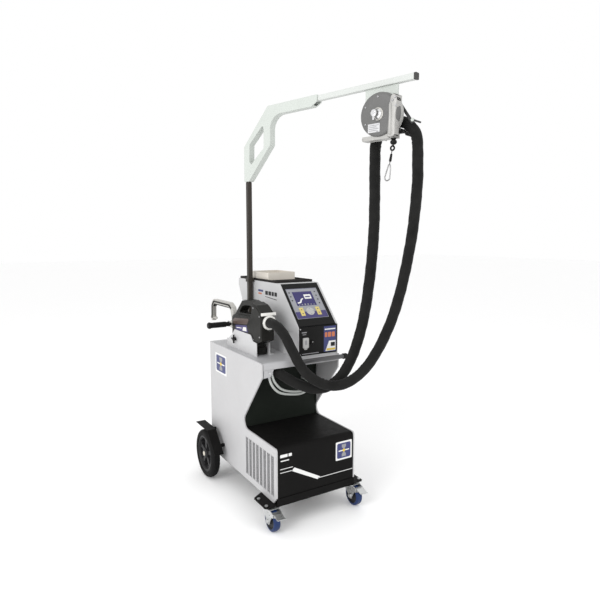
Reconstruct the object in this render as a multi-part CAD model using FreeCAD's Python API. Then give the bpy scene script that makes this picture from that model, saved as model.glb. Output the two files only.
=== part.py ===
import FreeCAD, Part
import math
import os

# Mobile spot welder: a sheet-metal cart with a control box on its deck, a mast whose boom
# swivels and carries a spring balancer, and a gun in a holder, fed by a heavy sleeved hose.
# Millimetres.  +Z is up, the front of the cart faces -Y and +X is its right-hand side.
# Shapes are drawn from the cart's centre line (x = 0) and its front face (y = 0); at the end
# they all move together, so that the origin is the middle of the footprint on the floor.

# ---- driving dimensions ------------------------------------------------------------------
SHEET = 2.0                     # folded sheet of the panels
CART_HALF = 216.0               # half width over the side panels
CART_REAR = 762.0
CART_BOTTOM = 120.0             # lower edge of the side panels
DECK_TOP = 740.0
DECK_FRONT = 134.0
BENCH_TOP = 379.0
ALCOVE_BACK = 333.0             # wall behind the open bench
PANEL_FOLD = 7.0                # depth of the fold round the side panels
SLOT_COUNT = 8
SLOT_PITCH = 37.5
SLOT_WIDTH = 20.0

BOX_LEFT = -12.0                # control box
BOX_RIGHT = 217.0
BOX_FRONT = 149.0
BOX_BEND = 885.0                # height where the front turns back
BOX_TOP = 1082.0
BOX_TOP_FRONT = 329.0           # where the sloping panel meets the top
BOX_REAR = 815.0
BOX_REAR_LOW = 770.0
KNOB_X = 62.0
KNOB_Z = 808.0

WHEEL_RADIUS = 130.0            # rear wheels
WHEEL_Y = 690.0
WHEEL_OUTER = 294.0
WHEEL_INNER = 246.0
AXLE_RADIUS = 10.0

CASTER_X = 228.0
CASTER_Y = 55.0
CASTER_TRAIL = 40.0
CASTER_RADIUS = 50.0
CASTER_PIN = 6.0
PEDAL_REACH = 78.0              # brake pedal's pin, ahead of the swivel
PEDAL_PIN_Z = 90.0
EAR_TOP = 119.5
EAR_BOTTOM = 115.5

POST_X = -33.0                  # mast
POST_Y = 624.0
POST_SIZE = 25.0
POST_TOP = 1600.0
BOOM_ANGLE = 17.0               # how far the boom is swung from straight ahead, degrees
BOOM_SIZE = 25.0
BOOM_MIDDLE = 1953.5
BOOM_END = 989.0
HEAD_HALF = 18.0                # half thickness of the boom head
SPIGOT_RADIUS = 11.0

BALANCER_S = 850.0              # balancer centre, along the boom
BALANCER_Z = 1817.0
BALANCER_RADIUS = 91.0
ROPE_S = 912.0
ROPE_SIDE = -35.0

HOSE_RADIUS = 24.0
HOSE_SIDE = 40.0                # how far behind the boom the hose hangs
ARCH_S = 877.0
ARCH_Z = 1697.0
ARCH_RADIUS = 102.0
SWIVEL_CUT = 1420.0             # height where the hose stops turning with the boom

GUN_LEFT = -165.0
GUN_RIGHT = -99.0
GUN_REAR = 231.0
GUN_MIDDLE = (GUN_LEFT + GUN_RIGHT) / 2.0
TIP_Y = 904.0                   # middle of the far electrode's holder
HANDLE_STEP = 9.0               # how much slimmer the handle is on each side

RUN = 0.06                      # radial running clearance of turning fits


# ---- small drawing tools -----------------------------------------------------------------
def vec(x, y, z):
    return FreeCAD.Vector(x, y, z)


X_AXIS = vec(1, 0, 0)
Y_AXIS = vec(0, 1, 0)
Z_AXIS = vec(0, 0, 1)


def box(x0, x1, y0, y1, z0, z1):
    return Part.makeBox(x1 - x0, y1 - y0, z1 - z0, vec(x0, y0, z0))


def rod(start, end, radius):
    axis = end - start
    return Part.makeCylinder(radius, axis.Length, start, axis)


def pipe(start, end, radius, bore):
    return rod(start, end, radius).cut(rod(start, end, bore))


def join(shapes):
    first = shapes[0]
    if len(shapes) == 1:
        return first
    return first.multiFuse(shapes[1:]).removeSplitter()


def group(shapes):
    return Part.makeCompound(shapes)


def corner_arc(before, corner, after, radius):
    """Tangent arc that rounds one corner, as its start, middle and end points."""
    back = (before - corner).normalize()
    ahead = (after - corner).normalize()
    half = back.getAngle(ahead) / 2.0
    reach = radius / math.tan(half)
    start = corner + back * reach
    end = corner + ahead * reach
    centre = corner + (back + ahead).normalize() * (radius / math.sin(half))
    middle = centre + (corner - centre).normalize() * radius
    return start, middle, end


def rounded_outline(points, radii):
    """Closed wire through the points, each corner rounded by its own radius (0 is sharp)."""
    count = len(points)
    ends = []
    edges = []
    for i in range(count):
        if radii[i] > 0:
            ends.append(corner_arc(points[i - 1], points[i], points[(i + 1) % count], radii[i]))
        else:
            ends.append((points[i], None, points[i]))
    for i in range(count):
        start, middle, end = ends[i]
        if middle is not None:
            edges.append(Part.Arc(start, middle, end).toShape())
        following = ends[(i + 1) % count][0]
        if (following - end).Length > 1e-6:
            edges.append(Part.makeLine(end, following))
    return Part.Wire(edges)


def outline_face(points, radii):
    if not isinstance(radii, (list, tuple)):
        radii = [radii] * len(points)
    return Part.Face(rounded_outline(points, radii))


def yz_slab(outline, x0, x1, radii=0):
    face = outline_face([vec(x0, y, z) for y, z in outline], radii)
    return face.extrude(vec(x1 - x0, 0, 0))


def xy_slab(outline, z0, z1, radii=0):
    face = outline_face([vec(x, y, z0) for x, y in outline], radii)
    return face.extrude(vec(0, 0, z1 - z0))


def xz_slab(outline, y0, y1, radii=0):
    face = outline_face([vec(x, y0, z) for x, z in outline], radii)
    return face.extrude(vec(0, y1 - y0, 0))


def turned(profile, centre, axis):
    """Solid of revolution: profile points are (distance along the axis, radius)."""
    side = axis.cross(Z_AXIS)
    if side.Length < 0.5:
        side = axis.cross(X_AXIS)
    side.normalize()
    points = [centre + axis * along + side * radius for along, radius in profile]
    points.append(points[0])
    return Part.Face(Part.makePolygon(points)).revolve(centre, axis, 360)


def strip_outline(line, thickness):
    """Closed outline of a bent strip: the line and its copy offset to the left."""
    left = []
    for i, (a, b) in enumerate(line):
        normals = []
        if i > 0:
            normals.append(unit_left(line[i - 1], line[i]))
        if i < len(line) - 1:
            normals.append(unit_left(line[i], line[i + 1]))
        na = sum(n[0] for n in normals)
        nb = sum(n[1] for n in normals)
        size = math.hypot(na, nb)
        na, nb = na / size, nb / size
        stretch = thickness / (na * normals[0][0] + nb * normals[0][1])
        left.append((a + na * stretch, b + nb * stretch))
    return list(line) + left[::-1]


def unit_left(first, second):
    da = second[0] - first[0]
    db = second[1] - first[1]
    size = math.hypot(da, db)
    return -db / size, da / size


def mirrored(shape):
    return shape.mirror(vec(0, 0, 0), X_AXIS)


def hex_head(centre, axis, across, height):
    """Hexagon head or nut."""
    side = axis.cross(Z_AXIS)
    if side.Length < 0.5:
        side = axis.cross(X_AXIS)
    side.normalize()
    other = axis.cross(side)
    radius = across / math.sqrt(3.0)
    corners = []
    for i in range(7):
        turn = math.radians(60 * i)
        corners.append(centre + side * (radius * math.cos(turn)) + other * (radius * math.sin(turn)))
    return Part.Face(Part.makePolygon(corners)).extrude(axis * height)


def on_boom(shape):
    """Places a shape drawn in the boom's own frame: x along the boom, z up, +y behind it."""
    placed = shape.copy()
    placed.rotate(vec(0, 0, 0), Z_AXIS, BOOM_ANGLE - 90.0)
    placed.translate(vec(POST_X, POST_Y, 0))
    return placed


def boom_point(s, side, z):
    turn = FreeCAD.Rotation(Z_AXIS, BOOM_ANGLE - 90.0)
    return turn.multVec(vec(s, side, z)) + vec(POST_X, POST_Y, 0)


SLOPE_RUN = BOX_TOP_FRONT - BOX_FRONT
SLOPE_RISE = BOX_TOP - BOX_BEND
SLOPE_ANGLE = math.degrees(math.atan2(SLOPE_RISE, SLOPE_RUN))
SLOPE_LENGTH = math.hypot(SLOPE_RUN, SLOPE_RISE)


def on_slope(shape):
    """Places a shape drawn on the sloping panel: x across, y up the slope, z out of it."""
    placed = shape.copy()
    placed.rotate(vec(0, 0, 0), X_AXIS, SLOPE_ANGLE)
    placed.translate(vec(BOX_LEFT, BOX_FRONT, BOX_BEND))
    return placed


def route_tube(points, radius, name):
    """Tube along straight runs joined by tangent arcs as large as the runs allow."""
    edges = []
    start = points[0]
    smallest = 1e9
    for i in range(1, len(points) - 1):
        back = (points[i - 1] - points[i])
        ahead = (points[i + 1] - points[i])
        half_inside = back.getAngle(ahead) / 2.0
        half_turn = math.pi / 2.0 - half_inside
        reach = 0.45 * min(back.Length, ahead.Length)
        bend = reach / math.tan(half_turn)
        smallest = min(smallest, bend)
        first, middle, last = corner_arc(points[i - 1], points[i], points[i + 1], bend)
        edges.append(Part.LineSegment(start, first).toShape())
        edges.append(Part.Arc(first, middle, last).toShape())
        start = last
    edges.append(Part.LineSegment(start, points[-1]).toShape())
    path = Part.Wire(edges)
    along = points[1] - points[0]
    section = Part.Wire([Part.Circle(points[0], along, radius).toShape()])
    tube = path.makePipeShell([section], True, False)
    expected = math.pi * radius * radius * path.Length
    print(name, "length", round(path.Length), "tightest radius", round(smallest),
          "volume ratio", round(tube.Volume / expected, 4))
    return tube


# ---- cart body -----------------------------------------------------------------------------
def side_outline():
    """Side view of the cart: deck, slanting front edge, curve, bench, front."""
    return [
        (CART_REAR, CART_BOTTOM),
        (CART_REAR, DECK_TOP - SHEET),
        (DECK_FRONT, DECK_TOP - SHEET),
        (DECK_FRONT, 672.0),
        (374.0, BENCH_TOP),
        (0.0, BENCH_TOP),
        (0.0, 150.5),
        (26.0, CART_BOTTOM),
    ]


def side_panel():
    """Left panel: a pressed tray with its edges folded inwards and eight tall vents."""
    radii = [3, 3, 4, 6, 38, 14, 3, 3]
    outer_face = outline_face([vec(-CART_HALF, y, z) for y, z in side_outline()], radii)
    panel = outer_face.extrude(vec(PANEL_FOLD, 0, 0))
    hollow = outer_face.makeOffset2D(-SHEET)
    hollow = hollow.extrude(vec(PANEL_FOLD, 0, 0))
    hollow.translate(vec(SHEET, 0, 0))
    panel = panel.cut(hollow)
    for i in range(SLOT_COUNT):
        y = 36.0 + SLOT_PITCH * i
        slot = yz_slab([(y - SLOT_WIDTH / 2, 152), (y + SLOT_WIDTH / 2, 152),
                        (y + SLOT_WIDTH / 2, 338), (y - SLOT_WIDTH / 2, 338)],
                       -CART_HALF - 1, -CART_HALF + SHEET + 1, 2.0)
        panel = panel.cut(slot)
    axle_gap = rod(vec(-CART_HALF - 1, WHEEL_Y, WHEEL_RADIUS),
                   vec(-CART_HALF + PANEL_FOLD + 1, WHEEL_Y, WHEEL_RADIUS), AXLE_RADIUS + 3)
    return panel.cut(axle_gap)


def vent_grille():
    """Fine louvre plate behind the vents of the left panel."""
    return box(-CART_HALF + SHEET + 0.2, -CART_HALF + SHEET + 1.4, 22, 312, 148, 342)


def bench_cover():
    """Black folded cover: the bench and the front face under it."""
    outline = [(ALCOVE_BACK - SHEET, BENCH_TOP - SHEET), (ALCOVE_BACK - SHEET, BENCH_TOP),
               (0.0, BENCH_TOP), (0.0, 150.5), (SHEET, 150.5), (SHEET, BENCH_TOP - SHEET)]
    half = CART_HALF - PANEL_FOLD - 0.5
    return yz_slab(outline, -half, half, [0, 0, 24, 0, 0, 24 - SHEET])


def alcove_wall():
    half = CART_HALF - PANEL_FOLD - 0.5
    wall = box(-half, half, ALCOVE_BACK - SHEET, ALCOVE_BACK, BENCH_TOP, DECK_TOP - SHEET)
    flange = box(-half, half, ALCOVE_BACK, ALCOVE_BACK + 15, DECK_TOP - 2 * SHEET, DECK_TOP - SHEET)
    bump = turned([(0, 0), (0, 4.5), (1.6, 3.6), (2.4, 0)], vec(-8, ALCOVE_BACK - SHEET, 402), vec(0, -1, 0))
    return join([wall, flange, bump])


def deck_plate():
    """Top plate with a rolled front apron and the small left bracket under it."""
    half = CART_HALF
    inner = CART_HALF - PANEL_FOLD - 0.5
    top = box(-half, half, DECK_FRONT + 10, CART_REAR, DECK_TOP - SHEET, DECK_TOP)
    outline = [(DECK_FRONT + 10, DECK_TOP - SHEET), (DECK_FRONT + 10, DECK_TOP), (DECK_FRONT - 4, DECK_TOP),
               (DECK_FRONT - 4, 706), (DECK_FRONT + 10, 706), (DECK_FRONT + 10, 708),
               (DECK_FRONT - 2, 708), (DECK_FRONT - 2, DECK_TOP - SHEET)]
    apron = yz_slab(outline, -inner, inner, [0, 0, 12, 4, 0, 0, 2, 10])
    corner_left = box(-half, -inner, DECK_FRONT, DECK_FRONT + 10, DECK_TOP - SHEET, DECK_TOP)
    corner_right = box(inner, half, DECK_FRONT, DECK_FRONT + 10, DECK_TOP - SHEET, DECK_TOP)
    gusset = yz_slab([(DECK_FRONT + 2, 738), (DECK_FRONT + 2, 672), (DECK_FRONT + 24, 656),
                      (200, 700), (200, 738)], -inner + 4, -inner + 7, 4)
    gusset_face = xz_slab([(-inner + 4, 706), (-inner + 4, 668), (-inner + 40, 672), (-inner + 58, 706)],
                          DECK_FRONT + 2, DECK_FRONT + 4, [0, 3, 6, 0])
    gusset_top = box(-inner + 4, -inner + 58, DECK_FRONT + 2, DECK_FRONT + 4, 706, 738)
    return join([top, apron, corner_left, corner_right, gusset, gusset_face, gusset_top])


def rear_panel():
    half = CART_HALF - PANEL_FOLD - 0.5
    panel = box(-half, half, CART_REAR - SHEET, CART_REAR, CART_BOTTOM, DECK_TOP - SHEET)
    slots = []
    for row in range(9):
        z = 240 + 22 * row
        for x in (-95, 95):
            slots.append(xz_slab([(x - 70, z), (x + 70, z), (x + 70, z + 8), (x - 70, z + 8)],
                                 CART_REAR - SHEET - 1, CART_REAR + 1, 3.9))
    return panel.cut(group(slots))


def chassis_tray():
    """Floor plate with its front lip, the caster ears, caster plates and axle blocks."""
    half = CART_HALF - 3.0
    floor = box(-half, half, 2, CART_REAR - 4, EAR_BOTTOM, EAR_TOP)
    lip = box(-half, half, -3, 2, 112, 148)
    step = box(-CART_HALF + PANEL_FOLD + 0.5, CART_HALF - PANEL_FOLD - 0.5, 2, 5, EAR_TOP, 150)
    parts = [floor, lip, step]
    for side in (-1, 1):
        ear = xy_slab([(side * 205, -2), (side * 218, -2), (side * 262, -2), (side * 272, 8),
                       (side * 272, 112), (side * 266, 120), (side * 217, 150), (side * 205, 150)],
                      EAR_BOTTOM, EAR_TOP)
        parts.append(ear)
        saddle = box(-10, 10, WHEEL_Y - 22, WHEEL_Y + 22, EAR_TOP - 0.5, WHEEL_RADIUS + 18)
        saddle.translate(vec(side * 190, 0, 0))
        parts.append(saddle)
    tray = join(parts)
    axle_bore = rod(vec(-300, WHEEL_Y, WHEEL_RADIUS), vec(300, WHEEL_Y, WHEEL_RADIUS), AXLE_RADIUS + 0.2)
    axle_relief = box(-160, 160, WHEEL_Y - 14, WHEEL_Y + 14, EAR_BOTTOM - 1, EAR_TOP + 1)
    return tray.cut(axle_bore).cut(axle_relief)


def caster_plates():
    """Zinc top plates bolted under the ears, each with its swivel pin."""
    plates = []
    for side in (-1, 1):
        centre = vec(side * CASTER_X, CASTER_Y, 0)
        plate = box(-42, 42, -48, 48, 112.0, EAR_BOTTOM)
        plate.translate(centre)
        pin = rod(centre + vec(0, 0, 104.5), centre + vec(0, 0, 112.5), 7.0)
        plates.append(join([plate, pin]))
    return group(plates)


def fasteners():
    """Bolts through the caster ears, screws of the bracket and the side panel."""
    bolts = []
    for side in (-1, 1):
        for dx in (-30, 30):
            for dy in (-38, 38):
                centre = vec(side * CASTER_X + dx, CASTER_Y + dy, EAR_TOP)
                if abs(centre.x) > CART_HALF + 4:
                    bolts.append(hex_head(centre, Z_AXIS, 13, 6))
    bracket = -CART_HALF + PANEL_FOLD + 0.5
    for x, z, reach in ((bracket + 16, 722, 1.0), (bracket + 34, 690, 3.8)):
        bolts.append(rod(vec(x, DECK_FRONT + 2, z), vec(x, DECK_FRONT + 2 - reach, z), 5.0))
    return group(bolts)


# ---- rear wheels -----------------------------------------------------------------------------
def rear_axle():
    return rod(vec(-289, WHEEL_Y, WHEEL_RADIUS), vec(289, WHEEL_Y, WHEEL_RADIUS), AXLE_RADIUS)


def wheel_rim():
    """Left rim: hub, five spokes and a channelled ring."""
    centre = vec(-WHEEL_OUTER, WHEEL_Y, WHEEL_RADIUS)
    width = WHEEL_OUTER - WHEEL_INNER
    ring = turned([(4, 96.7), (width - 4, 96.7), (width - 4, 88), (width - 12, 84), (12, 84), (4, 88)],
                  centre, X_AXIS)
    hub = turned([(2, AXLE_RADIUS + RUN), (2, 20), (8, 26), (width - 8, 26), (width - 2, 22),
                  (width - 2, AXLE_RADIUS + RUN)], centre, X_AXIS)
    parts = [ring, hub]
    for i in range(5):
        spoke = box(14, width - 14, -9, 9, 22, 88)
        spoke = join([spoke, yz_slab([(-16, 70), (16, 70), (24, 88), (-24, 88)], 14, width - 14)])
        spoke.rotate(vec(0, 0, 0), X_AXIS, 72 * i)
        spoke.translate(centre)
        parts.append(spoke)
    rim = join(parts)
    return rim.cut(rod(centre, centre + vec(width, 0, 0), AXLE_RADIUS + RUN))


def wheel_tyre():
    centre = vec(-WHEEL_OUTER, WHEEL_Y, WHEEL_RADIUS)
    width = WHEEL_OUTER - WHEEL_INNER
    radius = WHEEL_RADIUS
    return turned([(2, 97), (0, 102), (0, 116), (5, radius - 5), (14, radius), (width - 14, radius),
                   (width - 5, radius - 5), (width, 116), (width, 102), (width - 2, 97)], centre, X_AXIS)


def wheel_guard():
    """Left mudguard: a bent strip over the wheel with a side web bolted to the cart."""
    bend = (639.0, 277.0)
    line = [(805.0, 277.0), bend, (534.0, 172.0)]
    strip = yz_slab(strip_outline(line, 3.0), -292.0, -240.0)
    web = yz_slab([(792, 276), (640, 276), (538, 174), (566, 158), (664, 236), (792, 236)], -243.0, -240.0, 0)
    foot_top = rod(vec(-240.5, 700, 256), vec(-CART_HALF, 700, 256), 9)
    foot_low = rod(vec(-240.5, 585, 200), vec(-CART_HALF, 585, 200), 9)
    return join([strip, web, foot_top, foot_low])


# ---- casters -----------------------------------------------------------------------------------
def caster_fork():
    """Left fork, its swivel head and the wheel bolt."""
    top = vec(-CASTER_X, CASTER_Y, 0)
    axle_y = -CASTER_TRAIL
    crown = xy_slab([(-26, 26), (26, 26), (26, -58), (-26, -58)], 104.5, 108.0, [24, 24, 6, 6])
    race = pipe(vec(0, 0, 107), vec(0, 0, 111.4), 25, 10)
    bore = rod(vec(0, 0, 100), vec(0, 0, 113), 7.0 + RUN)
    parts = [crown, race]
    for side in (-1, 1):
        inner = side * 20.5
        outer = side * 23.5
        leg = yz_slab([(20, 106), (-62, 106), (-86, 98), (-86, 83), (-72, 80), (axle_y - 16, 52),
                       (axle_y - 10, 36), (axle_y + 10, 36), (axle_y + 16, 52), (6, 84)],
                      min(inner, outer), max(inner, outer), [2, 4, 5, 5, 6, 8, 8, 8, 8, 8])
        nut = hex_head(vec(outer, axle_y, CASTER_RADIUS), vec(side, 0, 0), 17, 7)
        parts += [leg, nut]
    bolt = rod(vec(-24, axle_y, CASTER_RADIUS), vec(24, axle_y, CASTER_RADIUS), CASTER_PIN)
    pedal_pin = rod(vec(-21, -PEDAL_REACH, PEDAL_PIN_Z), vec(21, -PEDAL_REACH, PEDAL_PIN_Z), 3.0)
    parts += [bolt, pedal_pin]
    fork = join(parts).cut(bore)
    fork.translate(top)
    return fork


def caster_wheel():
    centre = vec(-CASTER_X - 17, CASTER_Y - CASTER_TRAIL, CASTER_RADIUS)
    bore = CASTER_PIN + RUN
    return turned([(-2.5, bore), (-2.5, 13), (6, 18), (7, 34), (1, 38), (0, 42), (3, 48), (8, 50), (26, 50),
                   (31, 48), (34, 42), (33, 38), (27, 34), (28, 18), (36.5, 13), (36.5, bore)],
                  centre, X_AXIS)


def brake_pedal():
    """Foot pedal on the front of the left fork."""
    line = [(-70.0, 97.5), (-90.0, 97.0), (-116.0, 87.0), (-127.0, 89.0)]
    tread = yz_slab(strip_outline(line, -2.5), -19.5, 19.5)
    parts = [tread]
    for x in (-19.5, 17.0):
        cheek = yz_slab([(-70, 97), (-92, 96), (-96, 88), (-84, 84.5), (-72, 86)], x, x + 2.5)
        parts.append(cheek)
    pedal = join(parts)
    pin_bore = rod(vec(-30, -PEDAL_REACH, PEDAL_PIN_Z), vec(30, -PEDAL_REACH, PEDAL_PIN_Z), 3.0 + RUN)
    pedal = pedal.cut(pin_bore)
    pedal.translate(vec(-CASTER_X, CASTER_Y, 0))
    return pedal


# ---- control box -------------------------------------------------------------------------------
def box_outline():
    return [(BOX_FRONT, DECK_TOP), (BOX_FRONT, BOX_BEND), (BOX_TOP_FRONT, BOX_TOP),
            (BOX_REAR, BOX_TOP), (BOX_REAR, 1045.0), (BOX_REAR_LOW, 960.0), (BOX_REAR_LOW, DECK_TOP)]


def box_shell():
    """Light shell: two sides and the top, open at the front and the rear."""
    radii = [0, 4, 6, 8, 10, 10, 0]
    block = yz_slab(box_outline(), BOX_LEFT, BOX_RIGHT, radii)
    face = outline_face([vec(BOX_LEFT + SHEET, y, z) for y, z in box_outline()], radii)
    inner = face.makeOffset2D(-SHEET)
    inner = inner.extrude(vec(BOX_RIGHT - BOX_LEFT - 2 * SHEET, 0, 0))
    shell = block.cut(inner)
    front_gap = box(BOX_LEFT + 4, BOX_RIGHT - 4, BOX_FRONT - 1, BOX_FRONT + 6, DECK_TOP + 6, BOX_BEND + 4)
    slope_gap = on_slope(box(4, BOX_RIGHT - BOX_LEFT - 12, -4, SLOPE_LENGTH - 4, -6, 6))
    rear_gap = box(BOX_LEFT + 8, BOX_RIGHT - 8, BOX_REAR_LOW - 6, BOX_REAR + 6, DECK_TOP + 8, BOX_TOP - 10)
    shell = shell.cut(front_gap).cut(slope_gap).cut(rear_gap)
    side_slot = box(BOX_LEFT - 1, BOX_LEFT + SHEET + 1, 205, 311, 855.5, 858.0)
    return shell.cut(side_slot)


def front_frame():
    """Black moulded front: the raised surround of the keypad and the lower panel."""
    width = BOX_RIGHT - BOX_LEFT
    rim = box(4.3, width - 12.3, 4, SLOPE_LENGTH - 4.3, -4, 2.2)
    recess = box(17.0, width - 30.0, 47, SLOPE_LENGTH - 35, -0.8, 4)
    slope = on_slope(rim.cut(recess))
    lower = box(BOX_LEFT + 4.3, BOX_RIGHT - 4.3, BOX_FRONT - 1.5, BOX_FRONT + 4, DECK_TOP + 6.3, BOX_BEND + 1)
    label_recess = box(133, 208, BOX_FRONT - 2, BOX_FRONT - 0.7, 752, 881)
    lower = lower.cut(label_recess)
    knob_bore = rod(vec(KNOB_X, BOX_FRONT - 5, KNOB_Z), vec(KNOB_X, BOX_FRONT + 6, KNOB_Z), 5.0 + RUN)
    frame = join([slope, lower]).cut(knob_bore)
    return frame.cut(on_slope(keypad_cutouts(0.5)))


KEY_ROW = 89.0                  # height of the keys up the slope
NAV_X = 106.0
ROCKER_X = (59.0, 153.0)
NAV_RADIUS = 22.0
ROCKER_HALF = (11.0, 24.0)      # half width and half length of a key


def keypad_cutouts(gap):
    """Holes for the round button and the two rocker keys."""
    holes = [Part.makeCylinder(NAV_RADIUS + gap, 12, vec(NAV_X, KEY_ROW, -8))]
    for x in ROCKER_X:
        holes.append(box(x - ROCKER_HALF[0] - gap, x + ROCKER_HALF[0] + gap,
                         KEY_ROW - ROCKER_HALF[1] - gap, KEY_ROW + ROCKER_HALF[1] + gap, -8, 4))
    return group(holes)


def keypad_overlay():
    width = BOX_RIGHT - BOX_LEFT
    plate = box(17.4, width - 30.4, 47.4, SLOPE_LENGTH - 35.4, -0.8, 0.6)
    window = box(47.0, 160.0, 124.0, 211.0, -2, 2)
    return on_slope(plate.cut(window).cut(keypad_cutouts(0.5)))


def display_window():
    return on_slope(box(47.3, 159.7, 124.3, 210.7, -0.8, 0.9))


def nav_button():
    """Round four-way button with a raised centre."""
    body = Part.makeCylinder(NAV_RADIUS, 6.2, vec(NAV_X, KEY_ROW, -4.0))
    groove = pipe(vec(NAV_X, KEY_ROW, 1.2), vec(NAV_X, KEY_ROW, 3), 9.5, 8.0)
    return on_slope(body.cut(groove))


def rocker_key(index):
    x = ROCKER_X[index]
    half_x, half_y = ROCKER_HALF
    outline = [(KEY_ROW - half_y, -3.0), (KEY_ROW - half_y, 1.6), (KEY_ROW, 2.6),
               (KEY_ROW + half_y, 1.6), (KEY_ROW + half_y, -3.0)]
    return on_slope(yz_slab(outline, x - half_x, x + half_x))


def card_module():
    """Light rounded cover at the left of the lower panel, with a small lug below it."""
    plate = xz_slab([(12, 784), (44, 784), (44, 834), (12, 834)], BOX_FRONT - 6.5, BOX_FRONT - 1.5, 5)
    lug = xz_slab([(21, 776), (35, 776), (38, 786), (18, 786)], BOX_FRONT - 5, BOX_FRONT - 1.5, [4, 4, 0, 0])
    return join([plate, lug])


def front_knob():
    centre = vec(KNOB_X, BOX_FRONT + 3.5, KNOB_Z)
    return turned([(0, 0), (0, 5), (6, 5), (6, 10), (15, 9), (16.5, 7.5), (16.5, 0)], centre, vec(0, -1, 0))


def rear_bezel():
    """Dark rear plate of the box with its vents and the mains inlet gland."""
    z0 = DECK_TOP + 8.3
    y = BOX_REAR_LOW
    plate = box(BOX_LEFT + 8.3, BOX_RIGHT - 8.3, y - 5, y - 1.5, z0, 952)
    top = BOX_TOP - 10.3
    flare = yz_slab([(y - 5, 950), (BOX_REAR - 6, 1040), (BOX_REAR - 6, top), (BOX_REAR - 2.5, top),
                     (BOX_REAR - 2.5, 1039), (y - 1.5, 950)], BOX_LEFT + 8.3, BOX_RIGHT - 8.3)
    gland = turned([(0, 0), (0, 15), (7, 15), (9, 13), (24, 11), (24, 6.5), (4, 6.5), (4, 0)],
                   vec(50, y - 2, 790), Y_AXIS)
    body = join([plate, flare, gland])
    slots = []
    for row in range(8):
        z = 840 + 13 * row
        slots.append(xz_slab([(120, z), (195, z), (195, z + 5), (120, z + 5)], y - 8, y + 2, 2.4))
    spindle = rod(vec(60, y - 10, 880), vec(60, y + 2, 880), 5.0 + RUN)
    return body.cut(group(slots)).cut(spindle)


def main_switch():
    """Rotary main switch on the rear plate."""
    centre = vec(60, BOX_REAR_LOW - 8, 880)
    dial = turned([(0, 0), (0, 5), (7, 5), (7, 20), (11, 19), (11, 0)], centre, Y_AXIS)
    bar = box(55, 65, BOX_REAR_LOW + 2.5, BOX_REAR_LOW + 18, 862, 898)
    return join([dial, bar])


def top_mat():
    """Black rubber tray on the box with a low lip."""
    x0 = BOX_LEFT
    x1 = BOX_RIGHT - 8
    mat = xy_slab([(x0, 368), (x1, 368), (x1, 796), (x0, 796)], BOX_TOP, BOX_TOP + 12, 6)
    well = xy_slab([(x0 + 5, 373), (x1 - 5, 373), (x1 - 5, 791), (x0 + 5, 791)], BOX_TOP + 6, BOX_TOP + 13, 5)
    return mat.cut(well)


def parts_tray():
    """Pale open tray for electrodes, standing on the mat."""
    outline = [(4, 488), (174, 488), (174, 690), (4, 690)]
    outer = xy_slab(outline, BOX_TOP + 6, BOX_TOP + 46, 8)
    inner = xy_slab([(6.5, 490.5), (171.5, 490.5), (171.5, 687.5), (6.5, 687.5)], BOX_TOP + 8.5, BOX_TOP + 47, 6)
    divider = box(6, 172, 588, 590, BOX_TOP + 8, BOX_TOP + 32)
    return join([outer.cut(inner), divider])


def front_rail():
    """Round handle bar along the front of the deck, on two stub brackets."""
    y = 116.0
    z = 727.0
    bar = rod(vec(-12, y, z), vec(226, y, z), 11.0)
    parts = [bar]
    for x in (8.0, 196.0):
        parts.append(box(x - 6, x + 6, y, DECK_FRONT - 4.0, z - 8, z + 1))
    return join(parts)


def rail_caps():
    y = 116.0
    z = 727.0
    right = turned([(0, 0), (0, 14), (20, 14), (24, 11), (24, 0)], vec(226.2, y, z), X_AXIS)
    left = turned([(0, 0), (0, 14), (16, 14), (20, 11), (20, 0)], vec(-12.2, y, z), vec(-1, 0, 0))
    return group([right, left])


# ---- inside the cart ---------------------------------------------------------------------------
def power_module():
    """Inverter and transformer block on the cart floor."""
    base = box(-150, 150, 380, 640, EAR_TOP + 44, 300)
    fins = [box(-150 + 22 * i, -142 + 22 * i, 382, 638, 300, 340) for i in range(14)]
    feet = [box(x, x + 24, y, y + 24, EAR_TOP, EAR_TOP + 45) for x in (-140, 116) for y in (390, 606)]
    return join([base] + fins + feet)


def coolant_tank():
    tank = xy_slab([(-190, 370), (60, 370), (60, 560), (-190, 560)], 420, 640, 14)
    neck = rod(vec(-120, 480, 640), vec(-120, 480, 662), 26)
    shelf = box(-200, 200, 350, 600, 412, 419)
    legs = [box(x, x + 8, y, y + 8, EAR_TOP, 412) for x in (-200, 192) for y in (352, 590)]
    return group([join([tank, neck]), join([shelf] + legs)])


def coolant_pump():
    body = rod(vec(90, 400, 470), vec(90, 520, 470), 36)
    foot = box(60, 120, 410, 510, 419, 440)
    outlet = rod(vec(90, 420, 500), vec(90, 420, 545), 9)
    return join([body, foot, outlet])


FAN_CENTRE = (100.0, 690.0, 560.0)


def radiator():
    """Radiator and the fan's ring in front of it."""
    x, y, z = FAN_CENTRE
    core = box(x - 85, x + 85, y + 22, y + 52, z - 85, z + 85)
    ring = box(x - 80, x + 80, y - 12, y + 18, z - 80, z + 80)
    ring = ring.cut(rod(vec(x, y - 20, z), vec(x, y + 20, z), 74))
    arm = box(x - 78, x + 78, y + 12, y + 18, z - 6, z + 6)
    stub = rod(vec(x, y - 8, z), vec(x, y + 14, z), 5.0)
    bracket = box(x - 60, x + 60, y + 17, y + 23, z - 84, z - 78)
    leg = box(x + 60, x + 84, y + 24, y + 50, EAR_TOP, z - 84)
    leg_left = box(x - 84, x - 60, y + 24, y + 50, EAR_TOP, z - 84)
    return join([core, ring, arm, stub, bracket, leg, leg_left])


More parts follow.
